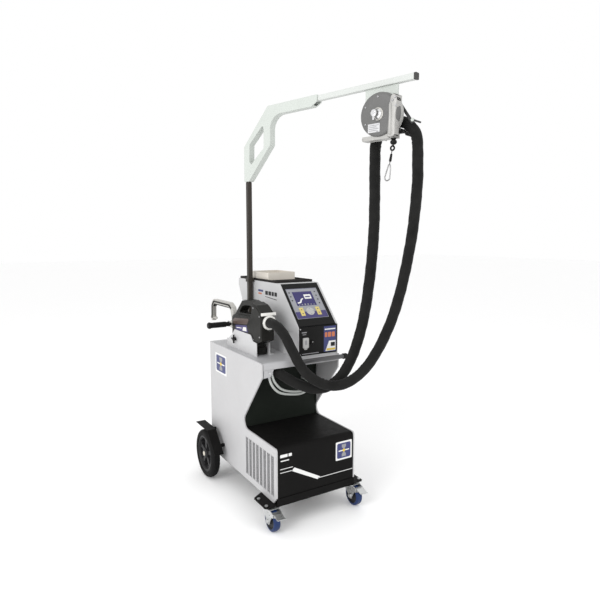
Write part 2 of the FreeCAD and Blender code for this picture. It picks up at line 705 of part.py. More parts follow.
def fan_rotor():
    x, y, z = FAN_CENTRE
    hub = pipe(vec(x, y - 10, z), vec(x, y + 8, z), 22, 5.0 + RUN)
    parts = [hub]
    for i in range(5):
        blade = box(-14, 14, -8, -5, 20, 68)
        blade.rotate(vec(0, 0, 0), Z_AXIS, 24)
        blade.rotate(vec(0, 0, 0), Y_AXIS, 72 * i)
        blade.translate(vec(x, y + 4, z))
        parts.append(blade)
    return join(parts)


# ---- mast ----------------------------------------------------------------------------------------
def post():
    """Square post with its foot, the stay to the control box and the swivel spigot."""
    half = POST_SIZE / 2
    outer = xy_slab([(-half, -half), (half, -half), (half, half), (-half, half)], DECK_TOP, POST_TOP, 3)
    foot = xy_slab([(-30, -38), (20, -38), (20, 38), (-30, 38)], DECK_TOP, DECK_TOP + 6, 5)
    sleeve = xy_slab([(-17, -17), (17, -17), (17, 17), (-17, 17)], DECK_TOP + 6, DECK_TOP + 90, 4)
    collar = rod(vec(0, 0, POST_TOP - 2), vec(0, 0, POST_TOP + 5), 15.0)
    spigot = rod(vec(0, 0, POST_TOP), vec(0, 0, POST_TOP + 78), SPIGOT_RADIUS)
    ring = xy_slab([(-18, -18), (18, -18), (18, 18), (-18, 18)], BOX_TOP - 8, BOX_TOP + 12, 4)
    mast = join([outer, foot, sleeve, collar, spigot, ring])
    mast.translate(vec(POST_X, POST_Y, 0))
    tab = box(POST_X + 10, BOX_LEFT, POST_Y - 14, POST_Y + 14, BOX_TOP - 7, BOX_TOP - 1)
    return join([mast, tab])


def boom_head():
    """Hollow head plate: upright leg with a six-sided opening, curved throat and top arm."""
    outline = [(-15, 1607), (-15, 1786), (163, 1968.5), (486, 1968.5), (486, 1938),
               (474, 1931), (451, 1920), (180, 1920), (179, 1776), (20, 1607)]
    radii = [3, 6, 8, 3, 0, 0, 4, 70, 6, 6]
    hole_points = [(119, 1874), (27, 1794), (25, 1706), (40, 1691), (68, 1716), (133, 1766), (133, 1856), (128, 1874)]
    hole_radii = [4, 6, 6, 5, 6, 6, 4, 4]
    plate = outline_face([vec(s, -HEAD_HALF, z) for s, z in outline], radii)
    hole = outline_face([vec(s, -HEAD_HALF, z) for s, z in hole_points], hole_radii)
    depth = vec(0, 2 * HEAD_HALF, 0)
    solid = plate.extrude(depth).cut(hole.extrude(depth))
    core = plate.makeOffset2D(-2.6).extrude(vec(0, 2 * (HEAD_HALF - 2.6), 0))
    core.translate(vec(0, 2.6, 0))
    liner = hole.makeOffset2D(2.6).extrude(depth)
    shell = solid.cut(core.cut(liner))
    bearing = box(-13, 16, -16.5, 16.5, POST_TOP + 8, POST_TOP + 70)
    head = join([shell, bearing])
    post_bore = rod(vec(0, 0, POST_TOP), vec(0, 0, POST_TOP + 90), SPIGOT_RADIUS + RUN)
    boom_gap = box(100, 520, -BOOM_SIZE / 2 - 0.1, BOOM_SIZE / 2 + 0.1,
                   BOOM_MIDDLE - BOOM_SIZE / 2 - 0.1, BOOM_MIDDLE + BOOM_SIZE / 2 + 0.1)
    lower_gap = box(455, 520, -BOOM_SIZE / 2 - 0.1, BOOM_SIZE / 2 + 0.1, 1925, BOOM_MIDDLE)
    return on_boom(head.cut(post_bore).cut(boom_gap).cut(lower_gap))


def boom_tube():
    half = BOOM_SIZE / 2
    outline = [(-half, BOOM_MIDDLE - half), (half, BOOM_MIDDLE - half),
               (half, BOOM_MIDDLE + half), (-half, BOOM_MIDDLE + half)]
    outer = yz_slab(outline, 170, BOOM_END, 3)
    inner = yz_slab([(y * 0.87, BOOM_MIDDLE + (z - BOOM_MIDDLE) * 0.87) for y, z in outline], 169, BOOM_END + 1, 2)
    return on_boom(outer.cut(inner))


def boom_cap():
    half = BOOM_SIZE / 2 + 0.8
    outline = [(-half, BOOM_MIDDLE - half), (half, BOOM_MIDDLE - half),
               (half, BOOM_MIDDLE + half), (-half, BOOM_MIDDLE + half)]
    cap = yz_slab(outline, BOOM_END - 3, BOOM_END + 6, 3)
    share = BOOM_SIZE / (2 * half)
    seat = yz_slab([(y * share, BOOM_MIDDLE + (z - BOOM_MIDDLE) * share) for y, z in outline],
                   BOOM_END - 4, BOOM_END, 3)
    return on_boom(cap.cut(seat))


def hanger_bracket():
    """Plate under the boom that carries the balancer, and the saddle for the hose behind it."""
    top = BOOM_MIDDLE - BOOM_SIZE / 2
    outline = [(747, top), (909, top), (909, 1866), (896, 1742), (800, 1742), (747, 1850)]
    face = outline_face([vec(s, -2.5, z) for s, z in outline], [0, 0, 8, 10, 10, 8])
    plate = face.extrude(vec(0, 5, 0))
    radius = ARCH_RADIUS - HOSE_RADIUS - 2.5
    centre = vec(ARCH_S, 0, ARCH_Z)
    drum = rod(centre + vec(0, 12, 0), centre + vec(0, 68, 0), radius)
    drum = drum.cut(rod(centre + vec(0, 11, 0), centre + vec(0, 69, 0), radius - 4))
    lower = box(ARCH_S - 120, ARCH_S + 120, 10, 70, ARCH_Z - 120, ARCH_Z + 34)
    saddle = drum.cut(lower)
    bar = box(ARCH_S - 54, ARCH_S + 54, 12, 24, 1742, 1756)
    posts = [rod(vec(s, 2, 1749), vec(s, 14, 1749), 6) for s in (ARCH_S - 50, ARCH_S + 18)]
    tie = box(ARCH_S - 4, ARCH_S + 4, 12, 60, 1742, ARCH_Z + radius - 2)
    return on_boom(join([plate, saddle, bar, tie] + posts))


def hose_keeper():
    """Arm and crosswise pin that keep the hose on its saddle."""
    reach = ARCH_RADIUS + HOSE_RADIUS + 8
    turn = math.radians(42)
    s = ARCH_S + reach * math.cos(turn)
    z = ARCH_Z + reach * math.sin(turn)
    arm_line = [(910.0, 1878.0), (s + 5, z - 9)]
    arm = outline_face([vec(a, 3, b) for a, b in strip_outline(arm_line, -12.0)], 4).extrude(vec(0, 4, 0))
    pin = rod(vec(s, 5, z), vec(s, 66, z), 4)
    head = rod(vec(s, -1, z), vec(s, 5, z), 7)
    return on_boom(join([arm, pin, head]))


# ---- balancer --------------------------------------------------------------------------------------
def balancer_housing():
    """Round spring housing with its foot, lug, rope guide and the drum's shaft."""
    centre = vec(BALANCER_S, -3, BALANCER_Z)
    axis = vec(0, -1, 0)
    radius = BALANCER_RADIUS
    body = turned([(0, 0), (0, radius - 6), (4, radius), (30, radius), (34, radius - 3), (46, radius - 5),
                   (54, radius - 14), (58, radius - 34), (58, 0)], centre, axis)
    foot = box(BALANCER_S - 84, BALANCER_S + 74, -50, -8, 1717, 1735)
    lug = rod(vec(BALANCER_S - 84, -40, 1726), vec(BALANCER_S - 84, -20, 1726), 9)
    guide = rod(vec(ROPE_S, ROPE_SIDE, 1720), vec(ROPE_S, ROPE_SIDE, 1868), 14)
    ears = box(ROPE_S - 6, ROPE_S + 16, ROPE_SIDE + 6, -3, 1860, 1888)
    housing = join([body, foot, lug, guide, ears])
    chamber = rod(centre + axis * 10, centre + axis * 48, 76)
    shaft = rod(centre + axis * 9, centre + axis * 84, 8)
    rope_way = rod(vec(ROPE_S, ROPE_SIDE, 1700), vec(ROPE_S, ROPE_SIDE, 1830), 5)
    mouth = Part.makeCone(12, 5, 12, vec(ROPE_S, ROPE_SIDE, 1718), Z_AXIS)
    stop_seat = rod(vec(ROPE_S, ROPE_SIDE, 1710), vec(ROPE_S, ROPE_SIDE, 1719), 12)
    lug_hole = rod(vec(BALANCER_S - 84, -55, 1726), vec(BALANCER_S - 84, -5, 1726), 4.5)
    housing = housing.cut(chamber).cut(rope_way).cut(mouth).cut(stop_seat).cut(lug_hole)
    return on_boom(join([housing, shaft]))


def cable_drum():
    centre = vec(BALANCER_S, -3, BALANCER_Z)
    axis = vec(0, -1, 0)
    drum = turned([(14, 8 + RUN), (14, 70), (24, 70), (26, 60), (38, 60), (40, 70), (45, 70), (45, 8 + RUN)],
                  centre, axis)
    return on_boom(drum)


def tension_knob():
    """Chromed spring adjuster in the middle of the housing."""
    centre = vec(BALANCER_S, -3, BALANCER_Z)
    axis = vec(0, -1, 0)
    body = turned([(58.4, 8 + RUN), (58.4, 21), (66, 21), (74, 15), (84.6, 15), (84.6, 8 + RUN)], centre, axis)
    cap = turned([(84.6, 0), (84.6, 15), (90, 14), (94, 9), (94, 0)], centre, axis)
    wing = box(BALANCER_S - 4, BALANCER_S + 4, -3 - 92, -3 - 74, BALANCER_Z - 28, BALANCER_Z - 12)
    return on_boom(join([body, cap, wing]))


HOOK_TOP = 1718.0
HOOK_LEAN = 11.0                # the short end of the rope leans a little, degrees


def hook_line(distance):
    """Point down the leaning end of the rope, in the boom's frame."""
    lean = math.radians(HOOK_LEAN)
    return vec(ROPE_S - 2 - math.sin(lean) * distance, ROPE_SIDE, 1690 - math.cos(lean) * distance)


def hook_swivel():
    """Rubber stopper, swivel eye and ferrule on the rope's end."""
    top = vec(ROPE_S, ROPE_SIDE, HOOK_TOP)
    stopper = turned([(-1, 0), (-1, 11), (5, 11), (8, 8), (12, 13), (20, 14), (26, 9), (29, 0)], top, vec(0, 0, -1))
    along = (hook_line(10) - hook_line(0)).normalize()
    eye = Part.makeTorus(8.5, 3.6, hook_line(13), Y_AXIS)
    neck = rod(hook_line(-2), hook_line(6), 3.5)
    thin = rod(hook_line(23), hook_line(46), 1.6)
    ferrule = turned([(36, 0), (36, 3.6), (38, 4.6), (64, 5.6), (68, 3.6), (68, 0)], hook_line(0), along)
    loop_neck = rod(hook_line(66), hook_line(77), 1.6)
    return on_boom(join([stopper, neck, eye, thin, ferrule, loop_neck]))


def balancer_rope():
    return on_boom(rod(vec(ROPE_S, ROPE_SIDE, HOOK_TOP + 1.2), vec(ROPE_S, ROPE_SIDE, 1792), 1.6))


CARABINER_WIRE = 2.6


def carabiner():
    """Pear-shaped spring hook: bent wire, open on the gate's side."""
    points = [vec(8.5, 0, -20), vec(3.5, 0, -4), vec(-4, 0, -4), vec(-13, 0, -62), vec(0, 0, -72),
              vec(13, 0, -62), vec(12.2, 0, -54)]
    edges = []
    start = points[0]
    for i in range(1, len(points) - 1):
        reach = 0.45 * min((points[i] - points[i - 1]).Length, (points[i + 1] - points[i]).Length)
        half = (points[i - 1] - points[i]).getAngle(points[i + 1] - points[i]) / 2.0
        first, middle, last = corner_arc(points[i - 1], points[i], points[i + 1], reach * math.tan(half))
        edges.append(Part.LineSegment(start, first).toShape())
        edges.append(Part.Arc(first, middle, last).toShape())
        start = last
    edges.append(Part.LineSegment(start, points[-1]).toShape())
    path = Part.Wire(edges)
    section = Part.Wire([Part.Circle(points[0], points[1] - points[0], CARABINER_WIRE).toShape()])
    wire = path.makePipeShell([section], True, False)
    return hang_from_rope(wire)


def carabiner_gate():
    gate = rod(vec(8.9, 0, -21.2), vec(12.0, 0, -53.2), 2.3)
    return hang_from_rope(gate)


def hang_from_rope(shape):
    placed = shape.copy()
    placed.rotate(vec(0, 0, 0), Y_AXIS, HOOK_LEAN)
    placed.translate(hook_line(76))
    return on_boom(placed)


# ---- gun and holder ----------------------------------------------------------------------------------
def gun_body():
    """Gun casing with its closed top handle and the hose gland at its rear."""
    outline = [(GUN_REAR, 822), (GUN_REAR, 954), (285, 988), (372, 1003), (463, 994),
               (552, 914), (570, 900), (570, 806), (548, 796), (300, 796)]
    body = yz_slab(outline, GUN_LEFT, GUN_RIGHT, [4, 4, 12, 12, 16, 8, 6, 6, 6, 8])
    opening = yz_slab([(350, 936), (505, 929), (466, 964), (428, 974), (358, 978)],
                      GUN_LEFT - 1, GUN_RIGHT + 1, [10, 6, 12, 14, 12])
    waist = [(338, 1010), (338, 948), (352, 926), (520, 918), (575, 908), (575, 1010)]
    slim_left = yz_slab(waist, GUN_LEFT - 1, GUN_LEFT + HANDLE_STEP, [0, 8, 6, 8, 0, 0])
    slim_right = yz_slab(waist, GUN_RIGHT - HANDLE_STEP, GUN_RIGHT + 1, [0, 8, 6, 8, 0, 0])
    body = body.cut(opening).cut(slim_left).cut(slim_right)
    foot = box(GUN_MIDDLE - 20, GUN_MIDDLE + 20, 306, 545, 778, 798)
    end_plate = box(GUN_LEFT - 2, GUN_RIGHT + 8, GUN_REAR - 6, GUN_REAR, 944, 956)
    centre = vec(GUN_MIDDLE + 8, GUN_REAR, 909)
    ring = turned([(0, 0), (0, 35), (5, 35), (8, 31), (8, 0)], centre, vec(0, -1, 0))
    gland = turned([(4, 0), (4, 26.5), (12, 25), (14, 23), (14, 0)], centre, vec(0, -1, 0))
    parts = join([body, foot, end_plate, ring, gland])
    trigger_gap = box(GUN_MIDDLE - 9, GUN_MIDDLE + 9, 347, 392, 923, 966)
    bush = rod(vec(GUN_MIDDLE, 540, 850), vec(GUN_MIDDLE, 580, 850), 11 + RUN)
    return parts.cut(trigger_gap).cut(bush)


def gun_trigger():
    """Cream thumb trigger at the back of the handle opening."""
    return yz_slab([(358, 960), (362, 930), (378, 928), (384, 940), (372, 960)],
                   GUN_MIDDLE - 8.4, GUN_MIDDLE + 8.4, [1, 2, 5, 5, 2])


def gun_arm():
    """Nose block and the C-shaped electrode arm."""
    nose = turned([(0, 23), (0, 30), (24, 30), (30, 26), (52, 26), (58, 22), (58, 14), (0, 14)],
                  vec(GUN_MIDDLE, 570.3, 850), Y_AXIS)
    x0 = GUN_MIDDLE - 11
    x1 = GUN_MIDDLE + 11
    outline = [(592, 872), (612, 940), (655, 962), (884, 960), (914, 934), (918, 832), (898, 832),
               (893, 920), (872, 936), (664, 936), (642, 922), (626, 872)]
    bow = yz_slab(outline, x0, x1, [0, 20, 24, 26, 22, 4, 4, 16, 14, 14, 14, 0])
    tip_holder = turned([(-26, 0), (-26, 9), (0, 9), (0, 13), (20, 13), (26, 10), (26, 0)],
                        vec(GUN_MIDDLE, TIP_Y, 850), Y_AXIS)
    tip = turned([(-44, 0), (-44, 3.5), (-38, 7.5), (-24, 7.5), (-24, 0)], vec(GUN_MIDDLE, TIP_Y, 850), Y_AXIS)
    arm = join([nose, bow, tip_holder, tip])
    return arm.cut(rod(vec(GUN_MIDDLE, 560, 850), vec(GUN_MIDDLE, 660, 850), 14.0))


def gun_piston():
    """Moving electrode rod, guided in the gun."""
    return turned([(0, 0), (0, 11), (118, 11), (118, 8), (150, 8), (156, 3.5), (156, 0)],
                  vec(GUN_MIDDLE, 545, 850), Y_AXIS)


def gun_grip():
    """Side grip: a black handle screwed to the nose block."""
    start = vec(GUN_MIDDLE - 30.1, 596, 856)
    grip = turned([(0, 0), (0, 8), (10, 8), (10, 14), (18, 12), (90, 13.5), (112, 15), (124, 16), (130, 13), (130, 0)],
                  start, vec(-1, 0, 0))
    return grip


def gun_holder():
    """Two upright plates on the deck and the rubber block between them."""
    left = yz_slab([(272, DECK_TOP), (627, DECK_TOP), (627, 776), (606, 780), (560, 806), (526, 838),
                    (336, 838), (316, 810), (272, 806)], -172.0, -169.0, [0, 0, 4, 4, 8, 8, 24, 6, 6])
    right = yz_slab([(282, DECK_TOP), (600, DECK_TOP), (600, 806), (520, 826), (326, 826), (282, 792)],
                    -96.0, -93.0, [0, 0, 5, 8, 12, 6])
    foot_left = box(-169.2, -150, 300, 600, DECK_TOP, DECK_TOP + 3)
    foot_right = box(-93.2, -70, 284, 596, DECK_TOP, DECK_TOP + 3)
    plates = [join([left, foot_left]), join([right, foot_right])]
    screw_bore = rod(vec(-180, 512, 790), vec(-160, 512, 790), 4.0 + RUN)
    plates[0] = plates[0].cut(screw_bore)
    return group(plates)


def holder_block():
    """Rubber cradle that the gun rests on."""
    return box(-148, -104, 298, 580, DECK_TOP + 3.2, 777.6)


def clamp_screw():
    """Black cross-handled screw that clamps the gun."""
    stem = rod(vec(-176, 512, 790), vec(-152.4, 512, 790), 4.0)
    hub = rod(vec(-190, 512, 790), vec(-176, 512, 790), 9)
    bars = [rod(vec(-184, 512 - 24, 790), vec(-184, 512 + 24, 790), 4.5),
            rod(vec(-184, 512, 768), vec(-184, 512, 812), 4.5)]
    return join([stem, hub] + bars)


# ---- hoses -------------------------------------------------------------------------------------------
def junction(low):
    """Where a strand crosses the swivel height: a point below it, then one above it."""
    if low:
        return vec(286.6, -299.0, SWIVEL_CUT - 40), vec(289.0, -301.6, SWIVEL_CUT + 30)
    return vec(229.2, -108.2, SWIVEL_CUT - 40), vec(230.8, -109.6, SWIVEL_CUT + 30)


def gun_strand_points():
    """Route of the main hose from the gun's gland up to the height where it turns with the boom."""
    below, above = junction(True)
    return [
        vec(-124, 217, 909), vec(-124, 183, 909), vec(-119, 152, 898), vec(-110, 128, 876), vec(-97, 113, 848),
        vec(-79, 98, 798), vec(-58, 77, 742), vec(-32, 50, 688), vec(6, 10, 652), vec(54, -43, 636),
        vec(100, -94, 657), vec(142, -140, 707), vec(175, -177, 775), vec(205, -209, 860), vec(232, -239, 962),
        vec(253, -262, 1075), vec(268, -279, 1190), vec(279, -291, 1290), below, above,
    ]


def machine_strand_points():
    """Route from the gland in the wall of the alcove up to the same height."""
    below, above = junction(False)
    return [
        vec(-156, 318.7, 702), vec(-156, 263, 702), vec(-146, 206, 699), vec(-124, 160, 687), vec(-90, 122, 657),
        vec(-42, 88, 626), vec(10, 54, 608), vec(62, 20, 614), vec(104, -15, 652), vec(138, -42, 716),
        vec(165, -61, 795), vec(187, -77, 890), vec(203, -89, 995), vec(214, -97, 1105), vec(222, -104, 1215),
        vec(226.5, -106.5, 1305), below, above,
    ]


def arch_points():
    """Route over the saddle: up the inner strand, round the arch, down the outer strand."""
    points = list(junction(False))
    inner_s = ARCH_S - ARCH_RADIUS
    outer_s = ARCH_S + ARCH_RADIUS
    points.append(boom_point(inner_s - 1, HOSE_SIDE, 1545))
    points.append(boom_point(inner_s - 3, HOSE_SIDE, 1630))
    for turn in (172, 150, 120, 90, 60, 30, 8):
        reach = ARCH_RADIUS / math.cos(math.radians(14.5))
        s = ARCH_S + reach * math.cos(math.radians(turn))
        z = ARCH_Z + reach * math.sin(math.radians(turn))
        points.append(boom_point(s, HOSE_SIDE, z))
    points.append(boom_point(outer_s + 5, HOSE_SIDE, 1630))
    points.append(boom_point(outer_s + 8, HOSE_SIDE, 1545))
    points += list(junction(True))[::-1]
    return points


def strand_below(points, name):
    """Stretch of the hose below the swivel height, ending on a level face."""
    tube = route_tube(points, HOSE_RADIUS, name)
    return tube.cut(box(0, 400, -400, 0, SWIVEL_CUT - 0.2, SWIVEL_CUT + 100))


def arch_above():
    tube = route_tube(arch_points(), HOSE_RADIUS, "hose_arch")
    return tube.cut(box(0, 400, -400, 0, SWIVEL_CUT - 100, SWIVEL_CUT + 0.2))


def coolant_tube_points(lift, shift):
    """One of the two grey coolant tubes looping under the deck, into the alcove wall."""
    hanging = [(-159, 146, 684), (-153, 147, 652), (-126, 154, 612), (-88, 164, 582)]
    crossing = [(-40, 176, 562), (12, 190, 554), (62, 208, 562), (98, 234, 578),
                (115, 268, 590), (119, 304, 594), (119, 331, 594)]
    points = [vec(x + shift, y, z + lift) for x, y, z in hanging]
    points += [vec(x, y, z + lift) for x, y, z in crossing]
    return points


def hose_gland():
    """Ring on the alcove wall where the main hose goes in."""
    centre = vec(-156, ALCOVE_BACK - SHEET, 702)
    return turned([(0, 0), (0, 34), (5, 34), (7, 30), (12, 27), (12, 0)], centre, vec(0, -1, 0))


# ---- everything together -----------------------------------------------------------------------------
def build():
    nodes = {}
    left_panel = group([side_panel(), vent_grille()])
    nodes["side_panel_left"] = left_panel
    nodes["side_panel_right"] = mirrored(left_panel)
    nodes["bench_cover"] = bench_cover()
    nodes["alcove_wall"] = group([alcove_wall(), hose_gland()])
    nodes["deck_plate"] = deck_plate()
    nodes["rear_panel"] = rear_panel()
    nodes["chassis_tray"] = chassis_tray()
    nodes["caster_plates"] = group([caster_plates(), fasteners()])
    nodes["rear_axle"] = rear_axle()
    nodes["wheel_rim_left"] = wheel_rim()
    nodes["wheel_rim_right"] = mirrored(wheel_rim())
    nodes["wheel_tyre_left"] = wheel_tyre()
    nodes["wheel_tyre_right"] = mirrored(wheel_tyre())
    nodes["wheel_guards"] = group([wheel_guard(), mirrored(wheel_guard())])
    nodes["caster_fork_left"] = caster_fork()
    nodes["caster_fork_right"] = mirrored(caster_fork())
    nodes["caster_wheel_left"] = caster_wheel()
    nodes["caster_wheel_right"] = mirrored(caster_wheel())
    nodes["brake_pedal_left"] = brake_pedal()
    nodes["brake_pedal_right"] = mirrored(brake_pedal())
    nodes["box_shell"] = box_shell()
    nodes["front_frame"] = front_frame()
    nodes["keypad_overlay"] = keypad_overlay()
    nodes["display_window"] = display_window()
    nodes["nav_button"] = nav_button()
    nodes["rocker_key_left"] = rocker_key(0)
    nodes["rocker_key_right"] = rocker_key(1)
    nodes["card_module"] = card_module()
    nodes["front_knob"] = front_knob()
    nodes["rear_bezel"] = rear_bezel()
    nodes["main_switch"] = main_switch()
    nodes["top_mat"] = top_mat()
    nodes["parts_tray"] = parts_tray()
    nodes["front_rail"] = group([front_rail(), rail_caps()])
    nodes["power_module"] = power_module()
    nodes["coolant_unit"] = group([coolant_tank(), coolant_pump(), radiator()])
    nodes["fan_rotor"] = fan_rotor()
    nodes["post"] = post()
    nodes["boom_head"] = boom_head()
    nodes["boom_tube"] = group([boom_tube(), boom_cap()])
    nodes["hanger_bracket"] = group([hanger_bracket(), hose_keeper()])
    nodes["balancer_housing"] = balancer_housing()
    nodes["cable_drum"] = cable_drum()
    nodes["tension_knob"] = tension_knob()
    nodes["hook_swivel"] = hook_swivel()
    nodes["balancer_rope"] = balancer_rope()
    nodes["carabiner"] = carabiner()
    nodes["carabiner_gate"] = carabiner_gate()
    nodes["gun_body"] = group([gun_body(), holder_block()])
    nodes["gun_trigger"] = gun_trigger()
    nodes["gun_arm"] = gun_arm()
    nodes["gun_grip"] = gun_grip()
    nodes["gun_piston"] = gun_piston()
    nodes["gun_holder"] = gun_holder()
    nodes["clamp_screw"] = clamp_screw()
    nodes["hose_gun_strand"] = strand_below(gun_strand_points(), "hose_gun_strand")
    nodes["hose_machine_strand"] = strand_below(machine_strand_points(), "hose_machine_strand")
    nodes["hose_arch"] = arch_above()
    nodes["coolant_tube_a"] = route_tube(coolant_tube_points(7, 0), 6.0, "coolant_tube_a")
    nodes["coolant_tube_b"] = route_tube(coolant_tube_points(-7, -14), 6.0, "coolant_tube_b")
    return nodes


CORDS = ("hose_gun_strand", "hose_machine_strand", "hose_arch", "coolant_tube_a", "coolant_tube_b")

parts = build()
footprint = Part.makeCompound([shape for name, shape in parts.items() if name not in CORDS]).BoundBox
shift = vec(-footprint.Center.x, -footprint.Center.y, -footprint.ZMin)
print("shift", shift, "size", footprint.XLength, footprint.YLength, footprint.ZLength)
os.makedirs("parts", exist_ok=True)
for name, shape in parts.items():
    shape.translate(shift)
    shape.exportStep("parts/" + name + ".step")
print(len(parts), "nodes")
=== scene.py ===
from math import atan2, cos, pi, radians, sin

import bmesh
import bpy
from mathutils import Matrix, Vector


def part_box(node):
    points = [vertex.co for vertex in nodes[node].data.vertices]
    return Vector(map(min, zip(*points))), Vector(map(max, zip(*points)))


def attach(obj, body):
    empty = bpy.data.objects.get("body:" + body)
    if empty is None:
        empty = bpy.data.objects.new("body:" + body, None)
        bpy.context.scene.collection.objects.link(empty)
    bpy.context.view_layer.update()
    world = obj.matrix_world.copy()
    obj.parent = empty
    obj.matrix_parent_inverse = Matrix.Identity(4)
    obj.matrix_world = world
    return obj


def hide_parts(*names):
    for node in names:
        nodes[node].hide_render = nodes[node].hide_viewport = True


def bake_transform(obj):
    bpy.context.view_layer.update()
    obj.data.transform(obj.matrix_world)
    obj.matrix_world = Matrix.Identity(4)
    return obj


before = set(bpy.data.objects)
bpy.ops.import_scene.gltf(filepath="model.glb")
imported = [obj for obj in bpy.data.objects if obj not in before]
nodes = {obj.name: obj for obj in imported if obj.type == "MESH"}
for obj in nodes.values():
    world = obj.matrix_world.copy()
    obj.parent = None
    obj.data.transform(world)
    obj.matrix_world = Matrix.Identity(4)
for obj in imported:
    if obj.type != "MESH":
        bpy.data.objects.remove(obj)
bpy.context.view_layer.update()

# Everything is placed in millimetres from the cart's centre line and front face, and at()
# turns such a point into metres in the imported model's frame.
cover_low, cover_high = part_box("bench_cover")
CENTRE_X = (cover_low.x + cover_high.x) / 2.0
FRONT_Y = cover_low.y


def at(x, y, z):
    return Vector((CENTRE_X + x / 1000.0, FRONT_Y + y / 1000.0, z / 1000.0))


POST = (-33.0, 624.0)
BOOM_TURN = radians(17.0)


def on_boom(s, side, z):
    """Point s along the boom, side behind it, at height z."""
    x = POST[0] + s * sin(BOOM_TURN) + side * cos(BOOM_TURN)
    y = POST[1] - s * cos(BOOM_TURN) + side * sin(BOOM_TURN)
    return at(x, y, z)


SLOPE = atan2(1082.0 - 885.0, 329.0 - 149.0)


def on_slope(x, up, out):
    """Point on the control box's sloping panel."""
    y = 149.0 + up * cos(SLOPE) - out * sin(SLOPE)
    z = 885.0 + up * sin(SLOPE) + out * cos(SLOPE)
    return at(-12.0 + x, y, z)


# ---- materials -----------------------------------------------------------------------------
def start_material(name):
    material = bpy.data.materials.new(name)
    material.use_nodes = True
    tree = material.node_tree
    tree.nodes.clear()
    output = tree.nodes.new("ShaderNodeOutputMaterial")
    shader = tree.nodes.new("ShaderNodeBsdfPrincipled")
    tree.links.new(shader.outputs["BSDF"], output.inputs["Surface"])
    return material, tree, shader


def noise_of(tree, scale, detail=4.0, rough=0.55, stretch=None):
    coords = tree.nodes.new("ShaderNodeTexCoord")
    noise = tree.nodes.new("ShaderNodeTexNoise")
    noise.inputs["Scale"].default_value = scale
    noise.inputs["Detail"].default_value = detail
    noise.inputs["Roughness"].default_value = rough
    source = coords.outputs["Object"]
    if stretch is not None:
        mapping = tree.nodes.new("ShaderNodeMapping")
        mapping.inputs["Scale"].default_value = stretch
        tree.links.new(source, mapping.inputs["Vector"])
        source = mapping.outputs["Vector"]
    tree.links.new(source, noise.inputs["Vector"])
    return noise.outputs["Fac"]


def ramp_of(tree, value, low, high, first, second):
    ramp = tree.nodes.new("ShaderNodeValToRGB")
    ramp.color_ramp.elements[0].position = low
    ramp.color_ramp.elements[1].position = high
    ramp.color_ramp.elements[0].color = first
    ramp.color_ramp.elements[1].color = second
    tree.links.new(value, ramp.inputs["Fac"])
    return ramp.outputs["Color"]


def mix_of(tree, factor, first, second, blend="MIX"):
    mix = tree.nodes.new("ShaderNodeMix")
    mix.data_type = "RGBA"
    mix.blend_type = blend
    for socket, value in ((mix.inputs[0], factor), (mix.inputs[6], first), (mix.inputs[7], second)):
        if isinstance(value, (int, float, tuple)):
            socket.default_value = value
        else:
            tree.links.new(value, socket)
    return mix.outputs[2]


def grey(value):
    return (value, value, value, 1.0)


def tone(colour, factor):
    return tuple(min(1.0, c * factor) for c in colour[:3]) + (1.0,)


def edge_mask(tree, radius):
    """1 near sharp edges, 0 on flat faces."""
    bevel = tree.nodes.new("ShaderNodeBevel")
    bevel.samples = 4
    bevel.inputs["Radius"].default_value = radius
    geometry = tree.nodes.new("ShaderNodeNewGeometry")
    dot = tree.nodes.new("ShaderNodeVectorMath")
    dot.operation = "DOT_PRODUCT"
    tree.links.new(bevel.outputs["Normal"], dot.inputs[0])
    tree.links.new(geometry.outputs["Normal"], dot.inputs[1])
    return ramp_of(tree, dot.outputs["Value"], 0.80, 0.99, grey(1.0),
                   grey(0.0)), bevel.outputs["Normal"]


def surface(name, colour, rough, metallic=0.0, grain=900.0, bump=0.12, mottle=0.06, edge_wear_and_highlight=0.25,
            edge_wear_and_highlight_tone=1.35, edge=0.0012, stretch=None, coat=0.0, sheen=0.0, spread=0.12, specular=0.5):
    """A painted, moulded or metal finish: mottled colour, grain in the gloss, rounded edges lightened in
    patches, partly as wear and partly as a painted highlight.
    """
    material, tree, shader = start_material(name)
    broad = noise_of(tree, 7.0, 5.0, 0.6)
    fine = noise_of(tree, grain, 3.0, 0.6, stretch)
    smudge = noise_of(tree, 38.0, 6.0, 0.65)
    base = ramp_of(tree, broad, 0.3, 0.7, tone(colour, 1.0 - mottle), tone(colour, 1.0 + mottle))
    speckle = ramp_of(tree, fine, 0.35, 0.65, grey(1.0 - mottle * 0.7), grey(1.0))
    base = mix_of(tree, 1.0, base, speckle, "MULTIPLY")
    mask, normal = edge_mask(tree, edge)
    scuffs = ramp_of(tree, smudge, 0.42, 0.62, grey(0.0), grey(1.0))
    # edges lightened in patches: partly real wear, partly a painted highlight along the edges
    worn_and_highlit_edges = mix_of(tree, 1.0, mask, scuffs, "MULTIPLY")
    worn_and_highlit_edges = mix_of(tree, 1.0, worn_and_highlit_edges, grey(edge_wear_and_highlight), "MULTIPLY")
    base = mix_of(tree, worn_and_highlit_edges, base, tone(colour, edge_wear_and_highlight_tone))
    tree.links.new(base, shader.inputs["Base Color"])
    gloss = ramp_of(tree, smudge, 0.3, 0.7, grey(max(0.03, rough - spread / 2)), grey(min(1.0,
                                                                                          rough + spread / 2)))
    tree.links.new(gloss, shader.inputs["Roughness"])
    bumps = tree.nodes.new("ShaderNodeBump")
    bumps.inputs["Strength"].default_value = bump
    bumps.inputs["Distance"].default_value = 0.0004
    tree.links.new(fine, bumps.inputs["Height"])
    tree.links.new(normal, bumps.inputs["Normal"])
    tree.links.new(bumps.outputs["Normal"], shader.inputs["Normal"])
    shader.inputs["Metallic"].default_value = metallic
    shader.inputs["Specular IOR Level"].default_value = specular
    shader.inputs["Coat Weight"].default_value = coat
    shader.inputs["Sheen Weight"].default_value = sheen
    return material


